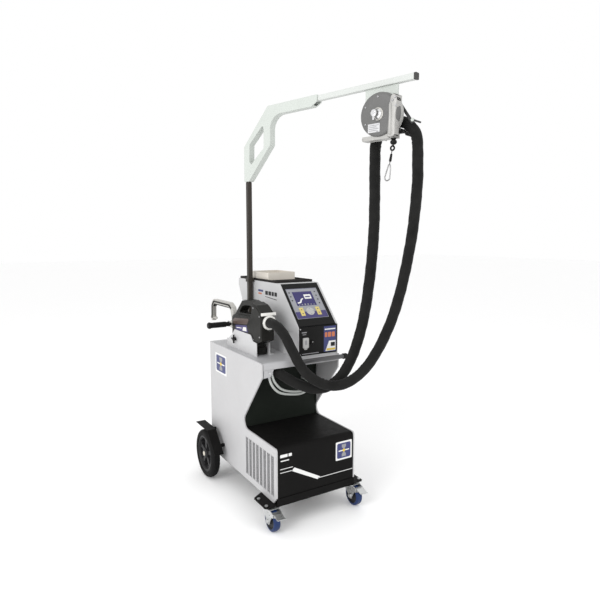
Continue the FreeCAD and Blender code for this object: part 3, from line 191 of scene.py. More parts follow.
def split_by(material, axis_vector, centre, limit, other_colour, other_rough, radial=False):
    """Gives the part of a finish beyond a plane, or inside a radius, another colour."""
    tree = material.node_tree
    shader = next(n for n in tree.nodes if n.type == "BSDF_PRINCIPLED")
    coords = tree.nodes.new("ShaderNodeTexCoord")
    away = tree.nodes.new("ShaderNodeVectorMath")
    away.operation = "SUBTRACT"
    away.inputs[1].default_value = centre
    tree.links.new(coords.outputs["Object"], away.inputs[0])
    measure = tree.nodes.new("ShaderNodeVectorMath")
    if radial:
        scale = tree.nodes.new("ShaderNodeVectorMath")
        scale.operation = "MULTIPLY"
        scale.inputs[1].default_value = axis_vector
        tree.links.new(away.outputs["Vector"], scale.inputs[0])
        measure.operation = "LENGTH"
        tree.links.new(scale.outputs["Vector"], measure.inputs[0])
    else:
        measure.operation = "DOT_PRODUCT"
        measure.inputs[1].default_value = axis_vector
        tree.links.new(away.outputs["Vector"], measure.inputs[0])
    compare = tree.nodes.new("ShaderNodeMath")
    compare.operation = "GREATER_THAN"
    compare.inputs[1].default_value = limit
    tree.links.new(measure.outputs["Value"], compare.inputs[0])
    base = shader.inputs["Base Color"].links[0].from_socket
    gloss = shader.inputs["Roughness"].links[0].from_socket
    tree.links.new(mix_of(tree, compare.outputs[0], base, other_colour), shader.inputs["Base Color"])
    tree.links.new(mix_of(tree, compare.outputs[0], gloss, grey(other_rough)),
                   shader.inputs["Roughness"])
    return material


def paint(name, colour, rough=0.40, bump=0.08, mottle=0.02, edge_wear_and_highlight=0.3, edge_wear_and_highlight_tone=1.35):
    """Satin paint on sheet metal."""
    return surface(name, colour, rough, grain=1400.0, bump=bump, mottle=mottle, edge_wear_and_highlight=edge_wear_and_highlight,
                   edge_wear_and_highlight_tone=edge_wear_and_highlight_tone)


# the side-panel and deck greys are the box shell's grey paint made darker as painted shade: the side panels to
# offset the floor's bounce light, the deck to darken its top as the light falls
shell_paint = paint("shell_paint", (0.50, 0.50, 0.505), 0.42, bump=0.10, edge_wear_and_highlight_tone=1.25)
side_paint_shaded_copy = paint("side_paint_shaded_copy", (0.46, 0.457, 0.463), 0.42, bump=0.10, edge_wear_and_highlight_tone=1.3)
deck_paint_shaded_copy = paint("deck_paint_shaded_copy", (0.40, 0.40, 0.41), 0.38, bump=0.10, mottle=0.03)
boom_paint = paint("boom_paint", (0.50, 0.53, 0.50))
black_paint = surface(
    "black_paint", (0.0075, 0.0072, 0.007), 0.50, grain=1100.0, bump=0.22, mottle=0.12, edge_wear_and_highlight=0.5,
    edge_wear_and_highlight_tone=5.0, specular=0.05)
alcove_paint = surface(
    "alcove_paint", (0.010, 0.013, 0.010), 0.62, grain=1100.0, bump=0.22, mottle=0.15, edge_wear_and_highlight=0.4,
    edge_wear_and_highlight_tone=4.0, specular=0.12)
mast_paint = surface(
    "mast_paint", (0.030, 0.025, 0.020), 0.42, grain=900.0, bump=0.12, mottle=0.12, edge_wear_and_highlight=0.5,
    edge_wear_and_highlight_tone=3.5, specular=0.25)
zinc = surface("zinc", (0.62, 0.63, 0.63), 0.30, metallic=0.95, grain=260.0, bump=0.10, mottle=0.12,
               edge_wear_and_highlight=0.4)
steel = surface("steel", (0.45, 0.45, 0.46), 0.32, metallic=1.0, grain=700.0, bump=0.10, mottle=0.10)
chrome = surface(
    "chrome", (0.80, 0.80, 0.81), 0.10, metallic=1.0, grain=300.0, bump=0.03, mottle=0.03, edge_wear_and_highlight=0.1)
cast_pale = surface(
    "cast_pale", (0.50, 0.49, 0.46), 0.34, metallic=0.65, grain=420.0, bump=0.18, mottle=0.08)
balancer_paint = surface(
    "balancer_paint", (0.40, 0.395, 0.38), 0.42, metallic=0.2, grain=700.0, bump=0.20, mottle=0.07,
    edge_wear_and_highlight=0.5, edge_wear_and_highlight_tone=1.6)
tyre_rubber = surface(
    "tyre_rubber", (0.0095, 0.0095, 0.0095), 0.70, grain=520.0, bump=0.35, mottle=0.2, edge_wear_and_highlight=0.5,
    edge_wear_and_highlight_tone=2.5, specular=0.10)
rim_plastic = surface(
    "rim_plastic", (0.022, 0.022, 0.023), 0.45, grain=600.0, bump=0.2, mottle=0.12, edge_wear_and_highlight=0.4,
    edge_wear_and_highlight_tone=2.5, specular=0.20)
black_plastic = surface(
    "black_plastic", (0.0080, 0.0080, 0.0078), 0.42, grain=1500.0, bump=0.30, mottle=0.10, edge_wear_and_highlight=0.4,
    edge_wear_and_highlight_tone=4.5, specular=0.14)
gun_plastic = surface(
    "gun_plastic", (0.013, 0.0128, 0.0112), 0.38, grain=1500.0, bump=0.30, mottle=0.15, edge_wear_and_highlight=0.6,
    edge_wear_and_highlight_tone=6.0, specular=0.14)
brown_plastic = surface(
    "brown_plastic", (0.075, 0.050, 0.042), 0.32, grain=1500.0, bump=0.2, mottle=0.12)
grey_plastic = surface("grey_plastic", (0.42, 0.42, 0.41), 0.45, grain=1300.0, bump=0.2, mottle=0.04)
pale_plastic = surface("pale_plastic", (0.70, 0.69, 0.66), 0.45, grain=1300.0, bump=0.15, mottle=0.03)
key_plastic = surface("key_plastic", (0.60, 0.49, 0.15), 0.35, grain=1300.0, bump=0.15, mottle=0.05)
cream_plastic = surface("cream_plastic", (0.55, 0.42, 0.17), 0.40, grain=1300.0, bump=0.15, mottle=0.06)
mat_rubber = surface(
    "mat_rubber", (0.018, 0.016, 0.015), 0.66, grain=700.0, bump=0.35, mottle=0.15, edge_wear_and_highlight=0.4,
    edge_wear_and_highlight_tone=2.5, specular=0.15)
tank_plastic = surface("tank_plastic", (0.75, 0.77, 0.77), 0.40, grain=900.0, bump=0.1, mottle=0.03)
tray_plastic = surface(
    "tray_plastic", (0.60, 0.56, 0.50), 0.34, grain=1200.0, bump=0.12, mottle=0.04, edge_wear_and_highlight=0.2)
tube_plastic = surface("tube_plastic", (0.40, 0.42, 0.40), 0.32, grain=900.0, bump=0.1, mottle=0.06)
bore_grey = surface(
    "bore_grey", (0.50, 0.51, 0.52), 0.38, metallic=0.7, grain=500.0, bump=0.15, mottle=0.08)
cover_paint = surface(
    "cover_paint", (0.118, 0.117, 0.115), 0.42, grain=700.0, bump=0.22, mottle=0.07, edge_wear_and_highlight=0.5,
    edge_wear_and_highlight_tone=2.6)
vent_grey = surface(
    "vent_grey", (0.15, 0.15, 0.155), 0.5, grain=1200.0, bump=0.1, mottle=0.05, specular=0.3)
hub_cream = surface("hub_cream", (0.58, 0.54, 0.46), 0.42, grain=1200.0, bump=0.15, mottle=0.05)
plate_metal = surface(
    "plate_metal", (0.60, 0.60, 0.61), 0.36, metallic=0.6, grain=600.0, bump=0.05, mottle=0.05)


def ink(name, colour, rough, mottle=0.05, specular=0.5):
    """Printed or stuck-on film."""
    return surface(name, colour, rough, grain=1600.0, bump=0.05, mottle=mottle, edge_wear_and_highlight=0.1,
                   specular=specular)


ink_white = ink("ink_white", (0.72, 0.72, 0.71), 0.40, mottle=0.02)
ink_blue = ink("ink_blue", (0.026, 0.034, 0.14), 0.36)
ink_violet = ink("ink_violet", (0.042, 0.034, 0.135), 0.34, mottle=0.08)
ink_yellow = ink("ink_yellow", (0.66, 0.47, 0.05), 0.38, mottle=0.04)
ink_orange = ink("ink_orange", (0.50, 0.15, 0.06), 0.38, mottle=0.04)
ink_grey = ink("ink_grey", (0.26, 0.26, 0.27), 0.42)
ink_black = ink("ink_black", (0.012, 0.012, 0.013), 0.40, specular=0.2)
overlay_film = surface(
    "overlay_film", (0.27, 0.275, 0.30), 0.34, grain=1600.0, bump=0.06, mottle=0.03, coat=0.1,
    specular=0.4)
screen_film = surface(
    "screen_film", (0.028, 0.023, 0.115), 0.14, grain=1600.0, bump=0.02, mottle=0.05, coat=0.3,
    specular=0.3)


def blue_wheel(sign):
    """Blue tread on a dark centre, for one caster wheel."""
    material = surface(
        "caster_rubber_" + ("right" if sign > 0 else "left"), (0.014, 0.015, 0.017), 0.42, grain=500.0,
        bump=0.25, mottle=0.12, specular=0.25)
    centre = at(sign * 228.0, 15.0, 50.0)
    return split_by(material, (0.0, 1.0, 1.0), centre, 0.0385, (0.012, 0.030, 0.105, 1.0), 0.42,
                    radial=True)


rail_finish = surface(
    "rail_finish", (0.11, 0.11, 0.112), 0.34, metallic=0.85, grain=500.0, bump=0.02, mottle=0.03,
    edge_wear_and_highlight=0.0)
split_by(rail_finish, (1.0, 0.0, 0.0), at(226.1, 0.0, 0.0), 0.0, (0.018, 0.018, 0.018, 1.0), 0.5)
split_by(rail_finish, (-1.0, 0.0, 0.0), at(-12.1, 0.0, 0.0), 0.0, (0.018, 0.018, 0.018, 1.0), 0.5)
tube_finish = paint("tube_finish", (0.54, 0.56, 0.54))
boom_line = (sin(BOOM_TURN), -cos(BOOM_TURN), 0.0)
boom_behind = (cos(BOOM_TURN), sin(BOOM_TURN), 0.0)
hanger_finish = paint("hanger_finish", (0.50, 0.53, 0.50), edge_wear_and_highlight=0.0)
split_by(hanger_finish, boom_behind, on_boom(0.0, 2.8, 0.0), 0.0, (0.016, 0.016, 0.016, 1.0), 0.5)
hook_steel = surface(
    "hook_steel", (0.30, 0.30, 0.30), 0.30, metallic=1.0, grain=500.0, bump=0.08, mottle=0.10)
split_by(tube_finish, boom_line, on_boom(985.9, 0.0, 1953.5), 0.0, (0.024, 0.022, 0.021, 1.0), 0.5)


def dress(material, *names):
    for name in names:
        mesh = nodes[name].data
        mesh.materials.clear()
        mesh.materials.append(material)


dress(side_paint_shaded_copy, "side_panel_left", "side_panel_right", "rear_panel")
dress(shell_paint, "box_shell", "gun_holder")
dress(deck_paint_shaded_copy, "deck_plate")
dress(black_paint, "bench_cover", "chassis_tray", "wheel_guards", "rear_bezel")
dress(alcove_paint, "alcove_wall")
dress(mast_paint, "post")
dress(zinc, "caster_plates", "caster_fork_left", "caster_fork_right", "brake_pedal_left",
      "brake_pedal_right")
dress(hook_steel, "carabiner", "carabiner_gate")
dress(steel, "rear_axle", "balancer_rope")
dress(chrome, "tension_knob", "gun_piston")
dress(rim_plastic, "wheel_rim_left", "wheel_rim_right")
dress(tyre_rubber, "wheel_tyre_left", "wheel_tyre_right")
dress(blue_wheel(-1), "caster_wheel_left")
dress(blue_wheel(1), "caster_wheel_right")
dress(black_plastic, "front_frame", "front_knob", "main_switch", "fan_rotor", "hook_swivel",
      "clamp_screw", "gun_grip")
dress(overlay_film, "keypad_overlay")
dress(screen_film, "display_window")
dress(grey_plastic, "nav_button", "card_module")
dress(key_plastic, "rocker_key_left", "rocker_key_right")
dress(mat_rubber, "top_mat")
dress(tray_plastic, "parts_tray")
dress(rail_finish, "front_rail")
dress(bore_grey, "power_module", "cable_drum")
dress(tank_plastic, "coolant_unit")
dress(boom_paint, "boom_head")
dress(hanger_finish, "hanger_bracket")
dress(tube_finish, "boom_tube")
dress(balancer_paint, "balancer_housing")
dress(gun_plastic, "gun_body")
dress(cream_plastic, "gun_trigger")
dress(cast_pale, "gun_arm")


# ---- mesh tools ------------------------------------------------------------------------------
def finish_mesh(name, bm, material, body, smooth=40.0):
    bmesh.ops.recalc_face_normals(bm, faces=bm.faces)
    mesh = bpy.data.meshes.new(name)
    bm.to_mesh(mesh)
    bm.free()
    mesh.materials.append(material)
    limit = radians(smooth)
    mesh.shade_smooth()
    mesh.set_sharp_from_angle(angle=limit)
    piece = bpy.data.objects.new(name, mesh)
    bpy.context.scene.collection.objects.link(piece)
    if body is not None:
        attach(piece, body)
    return piece


def slab(name, outline, thickness, material, body, bevel=0.0, segments=2):
    """Flat plate from a planar outline, thickened along a vector, its edges rounded."""
    bm = bmesh.new()
    base = [bm.verts.new(p) for p in outline]
    face = bm.faces.new(base)
    made = bmesh.ops.extrude_face_region(bm, geom=[face])
    moved = [v for v in made["geom"] if isinstance(v, bmesh.types.BMVert)]
    bmesh.ops.translate(bm, verts=moved, vec=thickness)
    if bevel > 0.0:
        bmesh.ops.bevel(bm, geom=list(bm.edges), offset=bevel, segments=segments, affect="EDGES",
                        profile=0.6)
    return finish_mesh(name, bm, material, body)


def lathe(name, profile, centre, axis, material, body, steps=48):
    """Turned piece: profile points are (along, radius) in millimetres."""
    axis = Vector(axis).normalized()
    side = axis.orthogonal().normalized()
    other = axis.cross(side)
    bm = bmesh.new()
    rings = []
    for along, radius in profile:
        ring = []
        for i in range(steps):
            turn = 2.0 * pi * i / steps
            offset = side * cos(turn) + other * sin(turn)
            ring.append(bm.verts.new(centre + axis * (along / 1000.0) + offset * (radius / 1000.0)))
        rings.append(ring)
    for first, second in zip(rings, rings[1:]):
        for i in range(steps):
            j = (i + 1) % steps
            bm.faces.new((first[i], first[j], second[j], second[i]))
    bm.faces.new(rings[0][::-1])
    bm.faces.new(rings[-1])
    bmesh.ops.remove_doubles(bm, verts=bm.verts, dist=1e-6)
    return finish_mesh(name, bm, material, body)


def rounded(points, radius, steps=4):
    """Outline with each corner rounded, as plane points."""
    made = []
    count = len(points)
    for i in range(count):
        corner = Vector(points[i])
        back = (Vector(points[i - 1]) - corner)
        ahead = (Vector(points[(i + 1) % count]) - corner)
        reach = min(radius, back.length * 0.45, ahead.length * 0.45)
        start = corner + back.normalized() * reach
        end = corner + ahead.normalized() * reach
        for k in range(steps + 1):
            t = k / steps
            made.append(tuple(start * (1 - t) ** 2 + corner * (2 * t * (1 - t)) + end * t ** 2))
    return made


def flat_label(name, place, points, material, body, radius=0.0, thick=0.25):
    """Thin printed or stuck-on shape: place turns plane points and a height into the frame."""
    outline = rounded(points, radius) if radius > 0 else points
    low = [place(a, b, 0.0) for a, b in outline]
    normal = (place(0.0, 0.0, 1.0) - place(0.0, 0.0, 0.0)) * thick
    return slab(name, low, normal, material, body)


def cart_print(name, place, points, material, radius=0.0, thick=0.12):
    """Thin print on a part of the cart that doesn't move."""
    return flat_label(name, place, points, material, "cart", radius, thick)


def rectangle(x0, x1, y0, y1):
    return [(x0, y0), (x1, y0), (x1, y1), (x0, y1)]


def front_place(y):
    """Plane of a face looking to the front: x across, z up."""
    return lambda a, b, out: at(a, y - out, b)


def left_place(x):
    """Plane of a face looking left: y back, z up."""
    return lambda a, b, out: at(x - out, a, b)


def slope_place(lift):
    return lambda a, b, out: on_slope(a, b, lift + out)


# ---- cart details ------------------------------------------------------------------------------
def raised(place, amount):
    """The same plane, a little further out."""
    return lambda a, b, out: place(a, b, out + amount)


def sign_plate(name, place, x, z, wide, high, body):
    """Plain sign on a white plate: two electrode tips meeting at a yellow spot on a blue field."""
    flat_label(name + "_plate", place, rectangle(x - wide, x + wide, z - high, z + high), ink_white,
               body, radius=high * 0.10, thick=0.3)
    flat_label(name + "_field", raised(place, 0.3), rectangle(x - wide * 0.84, x + wide * 0.84,
                                                              z - high * 0.82, z + high * 0.82),
               ink_blue, body, radius=high * 0.2, thick=0.12)
    face = raised(place, 0.42)
    for way, word in ((1, "upper"), (-1, "lower")):
        shape = [(x - wide * 0.26, z + way * high * 0.66), (x + wide * 0.26, z + way * high * 0.66),
                 (x + wide * 0.26, z + way * high * 0.40), (x + wide * 0.10, z + way * high * 0.19),
                 (x - wide * 0.10, z + way * high * 0.19), (x - wide * 0.26, z + way * high * 0.40)]
        flat_label(name + "_" + word, face, shape[::way], ink_grey, body, thick=0.12)
    sheets = rectangle(x - wide * 0.66, x + wide * 0.66, z - high * 0.06, z + high * 0.06)
    flat_label(name + "_sheets", face, sheets, ink_white, body, thick=0.12)
    spot = [(x + wide * 0.17 * cos(a), z + high * 0.17 * sin(a)) for a in turns(24)]
    flat_label(name + "_spot", raised(place, 0.54), spot, ink_yellow, body, thick=0.12)


def turns(count):
    return [2.0 * pi * i / count for i in range(count)]


front = front_place(-0.05)
cart_print("stripe_left", front, rectangle(-196, -130, 264.5, 267.5), ink_white, thick=0.15)
cart_print("stripe_band", front, [(-138, 264.5), (-122, 277.0), (18, 200.5), (3, 190.5)], ink_white,
           thick=0.15)
cart_print("stripe_right", front, [(4, 194.5), (206, 194.5), (206, 197.5), (8, 197.5)], ink_white,
           thick=0.15)
sign_plate("front_sign", front_place(-0.05), 153, 299.5, 47, 45.5, "cart")
sign_plate("side_sign", left_place(-216.05), 612, 640, 74, 53, "cart")
for index, (x, width, low, high) in enumerate(((-196, 38, 336, 350), (-153, 17, 336, 350), (-194, 44,
                                                                                            318, 323),
                                               (-196, 66, 281, 284))):
    cart_print("front_mark_%d" % index, front, rectangle(x, x + width, low, high), ink_white, radius=2,
               thick=0.15)

# fine slats behind the vents of both sides
for sign, word in ((-1, "left"), (1, "right")):
    bm = bmesh.new()
    for column in range(8):
        middle = 36.0 + 37.5 * column
        for row in range(45):
            z = 154.5 + row * 4.1
            x = sign * 214.2
            corners = [at(x + sign * 0.9, middle - 13.0, z), at(x + sign * 0.9, middle + 13.0, z),
                       at(x - sign * 1.2, middle + 13.0, z + 2.6), at(x - sign * 1.2, middle - 13.0,
                                                                      z + 2.6)]
            lower = [bm.verts.new(p) for p in corners]
            upper = [bm.verts.new(p + Vector((0, 0, 0.0006))) for p in corners]
            bm.faces.new(lower)
            bm.faces.new(upper[::-1])
            for i in range(4):
                j = (i + 1) % 4
                bm.faces.new((lower[i], upper[i], upper[j], lower[j]))
    finish_mesh("vent_slats_" + word, bm, vent_grey, "cart")

# grey strips flat on the panel beside each vent column: painted shade for the shadow sides of pressed vent
# edges
for column in range(8):
    middle = 36.0 + 37.5 * column
    for sign, word in ((-1, "left"), (1, "right")):
        for way, edge in ((-1, "front"), (1, "rear")):
            outline = [(middle + way * 10.1, 151.0), (middle + way * 12.6, 149.0), (middle + way * 12.6,
                                                                                    341.0),
                       (middle + way * 10.1, 339.0)]
            face = [at(sign * 216.02, a, b) for a, b in outline]
            slab("vent_%s_%s_%d" % (edge, word, column), face, Vector((sign * 0.0004, 0, 0)), vent_grey,
                 "cart")

# pop rivets and screws on the panels
rivet = [(0, 4.2), (0.9, 3.9), (1.5, 2.6), (1.7, 0.4)]
for index, (y, z) in enumerate(((172, 722), (226, 722), (700, 722), (30, 356), (250, 362), (740, 140),
                                (740, 420))):
    lathe("rivet_left_%d" % index, rivet, at(-216, y, z), (-1, 0, 0), shell_paint, "cart", 20)
    lathe("rivet_right_%d" % index, rivet, at(216, y, z), (1, 0, 0), shell_paint, "cart", 20)

# hub caps on the axle's ends
for sign, word in ((-1, "left"), (1, "right")):
    cap = [(0, 13.0), (2.5, 13.0), (5.5, 11.0), (6.5, 7.0), (6.8, 0.5)]
    lathe("hub_cap_" + word, cap, at(sign * 289.2, 690, 130), (sign, 0, 0), hub_cream, "cart", 32)


def tyre_profile():
    """Half-round tread with shallow grooves, and a ribbed sidewall."""
    profile = [(1.5, 97.5), (0.6, 101.0), (0.2, 106.0), (1.0, 107.0), (0.2, 108.2), (0.4, 116.0), (1.4,
                                                                                                   117.2),
               (1.2, 118.6), (4.0, 124.0), (8.0, 127.2), (12.0, 128.9)]
    for groove in (14.0, 20.0, 26.0, 32.0):
        profile += [(groove, 129.8), (groove + 0.5, 128.0), (groove + 1.7, 128.0), (groove + 2.2,
                                                                                    129.8)]
    profile += [(36.0, 128.9), (40.0, 127.2), (44.0, 124.0), (46.8, 118.6), (46.6, 117.2), (47.6,
                                                                                            116.0),
                (47.8, 108.2), (47.0, 107.0), (47.8, 106.0), (47.4, 101.0), (46.5, 97.5)]
    return profile


for sign, word in ((-1, "left"), (1, "right")):
    axis = Vector((-sign, 0, 0))
    centre = at(sign * 294, 690, 130)
    bm = bmesh.new()
    steps = 96
    rings = []
    for along, radius in tyre_profile():
        ring = []
        for i in range(steps):
            turn = 2.0 * pi * i / steps
            spot = centre + axis * (along / 1000.0)
            ring.append(bm.verts.new(spot + Vector((0, cos(turn), sin(turn))) * (radius / 1000.0)))
        rings.append(ring)
    rings.append(rings[0])
    for first, second in zip(rings, rings[1:]):
        for i in range(steps):
            j = (i + 1) % steps
            bm.faces.new((first[i], first[j], second[j], second[i]))
    tyre = finish_mesh("tyre_" + word, bm, tyre_rubber, "wheel_" + word, 30.0)
    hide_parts("wheel_tyre_" + word)

# ---- control box details -------------------------------------------------------------------------
NAV_X, KEY_ROW, NAV_RADIUS = 106.0, 89.0, 22.0     # four-way button: across, up the slope, radius
NAV_GAP = NAV_RADIUS + 0.5                         # printed band stays clear of the button
film = slope_place(0.65)
band = rounded(rectangle(20, 196, 50, 90), 4)
band_gap = [(NAV_X + NAV_GAP * cos(radians(a)), KEY_ROW + NAV_GAP * sin(radians(a)))
            for a in range(0, -181, -10)]
top_edge = len(band) * 3 // 4
cart_print("keypad_band", film, band[:top_edge] + band_gap + band[top_edge:], ink_violet)
cart_print("keypad_line_top", film, rectangle(20, 196, 228.5, 230), ink_violet)
glass = slope_place(0.95)
cart_print("screen_head", glass, rectangle(50, 157, 204, 209), ink_violet, thick=0.08)
cart_print("screen_value", glass, rectangle(106, 147, 165, 192), ink_white, radius=4, thick=0.08)
cart_print("screen_value_bar", slope_place(1.03), rectangle(112, 141, 174, 182), ink_violet, radius=1,
           thick=0.05)
curve_points = [(54, 146), (70, 148), (80, 164), (93, 171), (97, 167), (84, 157), (76, 142), (56, 138)]
cart_print("screen_curve", glass, curve_points, ink_white, radius=5, thick=0.08)
for index, height in enumerate((6, 10, 14, 12, 8, 5)):
    x = 60 + 17 * index
    cart_print("screen_bar_%d" % index, glass, rectangle(x - 4, x + 4, 128, 128 + height * 0.6),
               ink_grey, thick=0.08)
for index, (x, up) in enumerate(((31, 207), (31, 183), (31, 159), (180, 207), (180, 183), (180, 159),
                                 (180, 135))):
    cart_print("keypad_icon_%d" % index, film, rectangle(x - 4, x + 4, up - 3.4, up + 3.4), ink_black,
               radius=1.5, thick=0.1)
for side, x in (("left", 59.0), ("right", 153.0)):
    for word, up, way in (("more", 101, 1), ("less", 77, -1)):
        mark = [(x - 5, up - 3 * way), (x + 5, up - 3 * way), (x, up + 4 * way)]
        flat_label("key_mark_%s_%s" % (side, word), slope_place(2.25), mark[::way], ink_violet,
                   "key_" + side, thick=0.35)
for index in range(4):
    a = radians(90.0 * index)
    x = NAV_X + 15.5 * cos(a)
    up = KEY_ROW + 15.5 * sin(a)
    tip = (NAV_X + 19 * cos(a), KEY_ROW + 19 * sin(a))
    wing = (3.2 * sin(a), 3.2 * cos(a))
    mark = [(x - wing[0], up + wing[1]), (x + wing[0], up - wing[1]), tip]
    flat_label("nav_mark_%d" % index, slope_place(2.2), mark, ink_violet, "nav", thick=0.15)

panel_face = front_place(147.45)
cart_print("spec_label", front_place(148.35), rectangle(134, 207, 753, 880), ink_blue, thick=0.3)
label_face = front_place(148.0)
cart_print("spec_head", label_face, rectangle(139, 202, 862, 868), ink_white)
for index, (x0, x1) in enumerate(((140, 153), (157, 177), (181, 199))):
    cart_print("spec_figure_%d" % index, label_face, rectangle(x0, x1, 826, 850), ink_orange, radius=3)
cart_print("spec_white", label_face, [(143, 756), (204, 756), (204, 806), (165, 806)], ink_white)
cart_print("spec_yellow", front_place(147.86), rectangle(151, 202, 759, 769), ink_yellow, thick=0.08)
cart_print("spec_dark", front_place(147.86), rectangle(175, 200, 778, 798), ink_black, radius=3,
           thick=0.08)
cart_print("panel_mark", panel_face, rectangle(7, 35, 857, 862), ink_grey)
cart_print("panel_mark_low", panel_face, rectangle(11, 31, 848, 851), ink_grey)
cart_print("panel_strip", panel_face, rectangle(8, 104, 753, 757), ink_grey, radius=1.5)
cart_print("card_slot", front_place(142.45), rectangle(22, 34, 800, 822), ink_grey, radius=3, thick=0.2)
flat_label("knob_pointer", front_place(135.95), rectangle(61.2, 62.8, 809, 816.5), ink_white, "dial",
           thick=0.25)
for index, (x, z) in enumerate(((-1, 876), (211, 748), (-1, 752))):
    lathe("panel_screw_%d" % index, [(0, 3.4), (0.8, 3.2), (1.3, 2.0), (1.4, 0.4)], at(x, 147.5, z), (0,
                                                                                                      -1,
                                                                                                      0),
          steel, "cart", 18)
side = left_place(-12.05)
cart_print("box_sign", side, rectangle(509, 565, 1026, 1037), ink_blue, radius=1.5)
cart_print("box_sign_low", side, rectangle(525, 565, 1012, 1020), ink_orange, radius=1.5)
for index, (y0, y1) in enumerate(((455, 485), (420, 449), (390, 414), (357, 384))):
    cart_print("box_print_%d" % index, side, rectangle(y0, y1, 1014, 1035), ink_black, radius=3)
cart_print("box_swoosh", side, [(360, 999), (485, 1006), (485, 1003), (360, 995)], ink_black)

# ribs of the rubber mat
bm = bmesh.new()
for rib in range(34):
    y = 380.0 + rib * 12.0
    section = [(y - 2.4, 1088.0), (y - 1.4, 1089.6), (y + 1.4, 1089.6), (y + 2.4, 1088.0)]
    if 480 < y < 698:
        spans = ((-6.5, 3.0), (175.0, 203.5))
    else:
        spans = ((-6.5, 203.5),)
    for x0, x1 in spans:
        left_end = [bm.verts.new(at(x0, b, c)) for b, c in section]
        right_end = [bm.verts.new(at(x1, b, c)) for b, c in section]
        for i in range(3):
            bm.faces.new((left_end[i], left_end[i + 1], right_end[i + 1], right_end[i]))
        bm.faces.new((left_end[3], left_end[0], right_end[0], right_end[3]))
        bm.faces.new(left_end[::-1])
        bm.faces.new(right_end)
finish_mesh("mat_ribs", bm, mat_rubber, "cart")

# ---- balancer details ------------------------------------------------------------------------------
near = (-cos(BOOM_TURN), -sin(BOOM_TURN), 0.0)
BALANCER = (850.0, 1817.0)
cover = [(0, 91.2), (8, 91.4), (11, 90.4), (24, 89.0), (29, 86.5), (31.4, 82.0), (32.3, 76.0), (32.5,
                                                                                                60.0),
         (32.6, 36.0), (33.0, 24.0)]
lathe("balancer_cover", cover, on_boom(BALANCER[0], -29.5, BALANCER[1]), near, cover_paint, "boom", 80)
boss = [(0, 27.0), (1.6, 26.0), (1.8, 23.0)]
lathe("balancer_boss", boss, on_boom(BALANCER[0], -62.4, BALANCER[1]), near, cast_pale, "boom", 40)
for index in range(6):
    a = radians(30 + 60 * index)
    spot = on_boom(BALANCER[0] + 70 * cos(a), -61.9, BALANCER[1] + 70 * sin(a))
    lathe("balancer_screw_%d" % index, [(0, 4.0), (1.6, 4.0), (2.4, 3.2), (2.4, 1.4), (1.2, 1.2)], spot,
          near, steel, "boom", 16)


def balancer_place(a, b, out):
    return on_boom(a, -(62.1 + out), b)


flat_label("balancer_plate", balancer_place, rectangle(803, 861, 1745, 1781), plate_metal, "boom",
           radius=2, thick=0.7)
for index, z in enumerate((1774, 1767, 1760, 1753)):
    flat_label("balancer_print_%d" % index, raised(balancer_place, 0.72),
               rectangle(808, 856 - 10 * (index % 2), z - 1.2, z + 1.2), ink_grey, "boom", thick=0.06)

ROPE_ALONG, ROPE_SIDE = 912.0, -35.0     # the rope hangs this far along and to the side of the boom
ROPE_TOP, ROPE_LOW = 1792.0, 1719.2
ROPE_RADIUS, STRAND_DEPTH, ROPE_LAY = 1.42, 0.18, 12.0
guide = [(898, 1719), (932, 1719), (934, 1800), (941, 1866), (928, 1888), (912, 1880), (906, 1840)]
slab("balancer_guide", [on_boom(a, -64.5, b) for a, b in rounded(guide, 6)],
     on_boom(0, 36.0, 0) - on_boom(0, 0.0, 0), balancer_paint, "boom", bevel=0.004, segments=3)
lathe("guide_rib", [(0, 5.0), (2, 6.5), (118, 6.5), (122, 4.0)], on_boom(ROPE_ALONG, -64.0, 1728), (0,
                                                                                                    0,
                                                                                                    1),
      balancer_paint, "boom", 24)
for index, (along, height) in enumerate(((934, 1871), (922, 1860), (938, 1838))):
    lathe("guide_bolt_%d" % index, [(0, 4.6), (3.5, 4.6), (4.2, 3.8)], on_boom(along, -64.5, height),
          near, steel, "boom", 6)


def wire_rope(rings=25, around=36):
    """Six-strand rope from inside the housing to the stopper."""
    bm = bmesh.new()
    made = []
    for i in range(rings):
        height = ROPE_TOP + (ROPE_LOW - ROPE_TOP) * i / (rings - 1)
        ring = []
        for k in range(around):
            turn = 2.0 * pi * k / around
            strand = abs(cos(3.0 * turn + 2.0 * pi * height / ROPE_LAY))
            radius = ROPE_RADIUS + STRAND_DEPTH * strand
            along = ROPE_ALONG + radius * cos(turn)
            ring.append(bm.verts.new(on_boom(along, ROPE_SIDE + radius * sin(turn), height)))
        made.append(ring)
    for first, second in zip(made, made[1:]):
        for k in range(around):
            j = (k + 1) % around
            bm.faces.new((first[k], first[j], second[j], second[k]))
    bm.faces.new(made[0][::-1])
    bm.faces.new(made[-1])
    rope = finish_mesh("rope_strands", bm, steel, None, 60.0)
    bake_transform(rope)
    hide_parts("balancer_rope")


wire_rope()

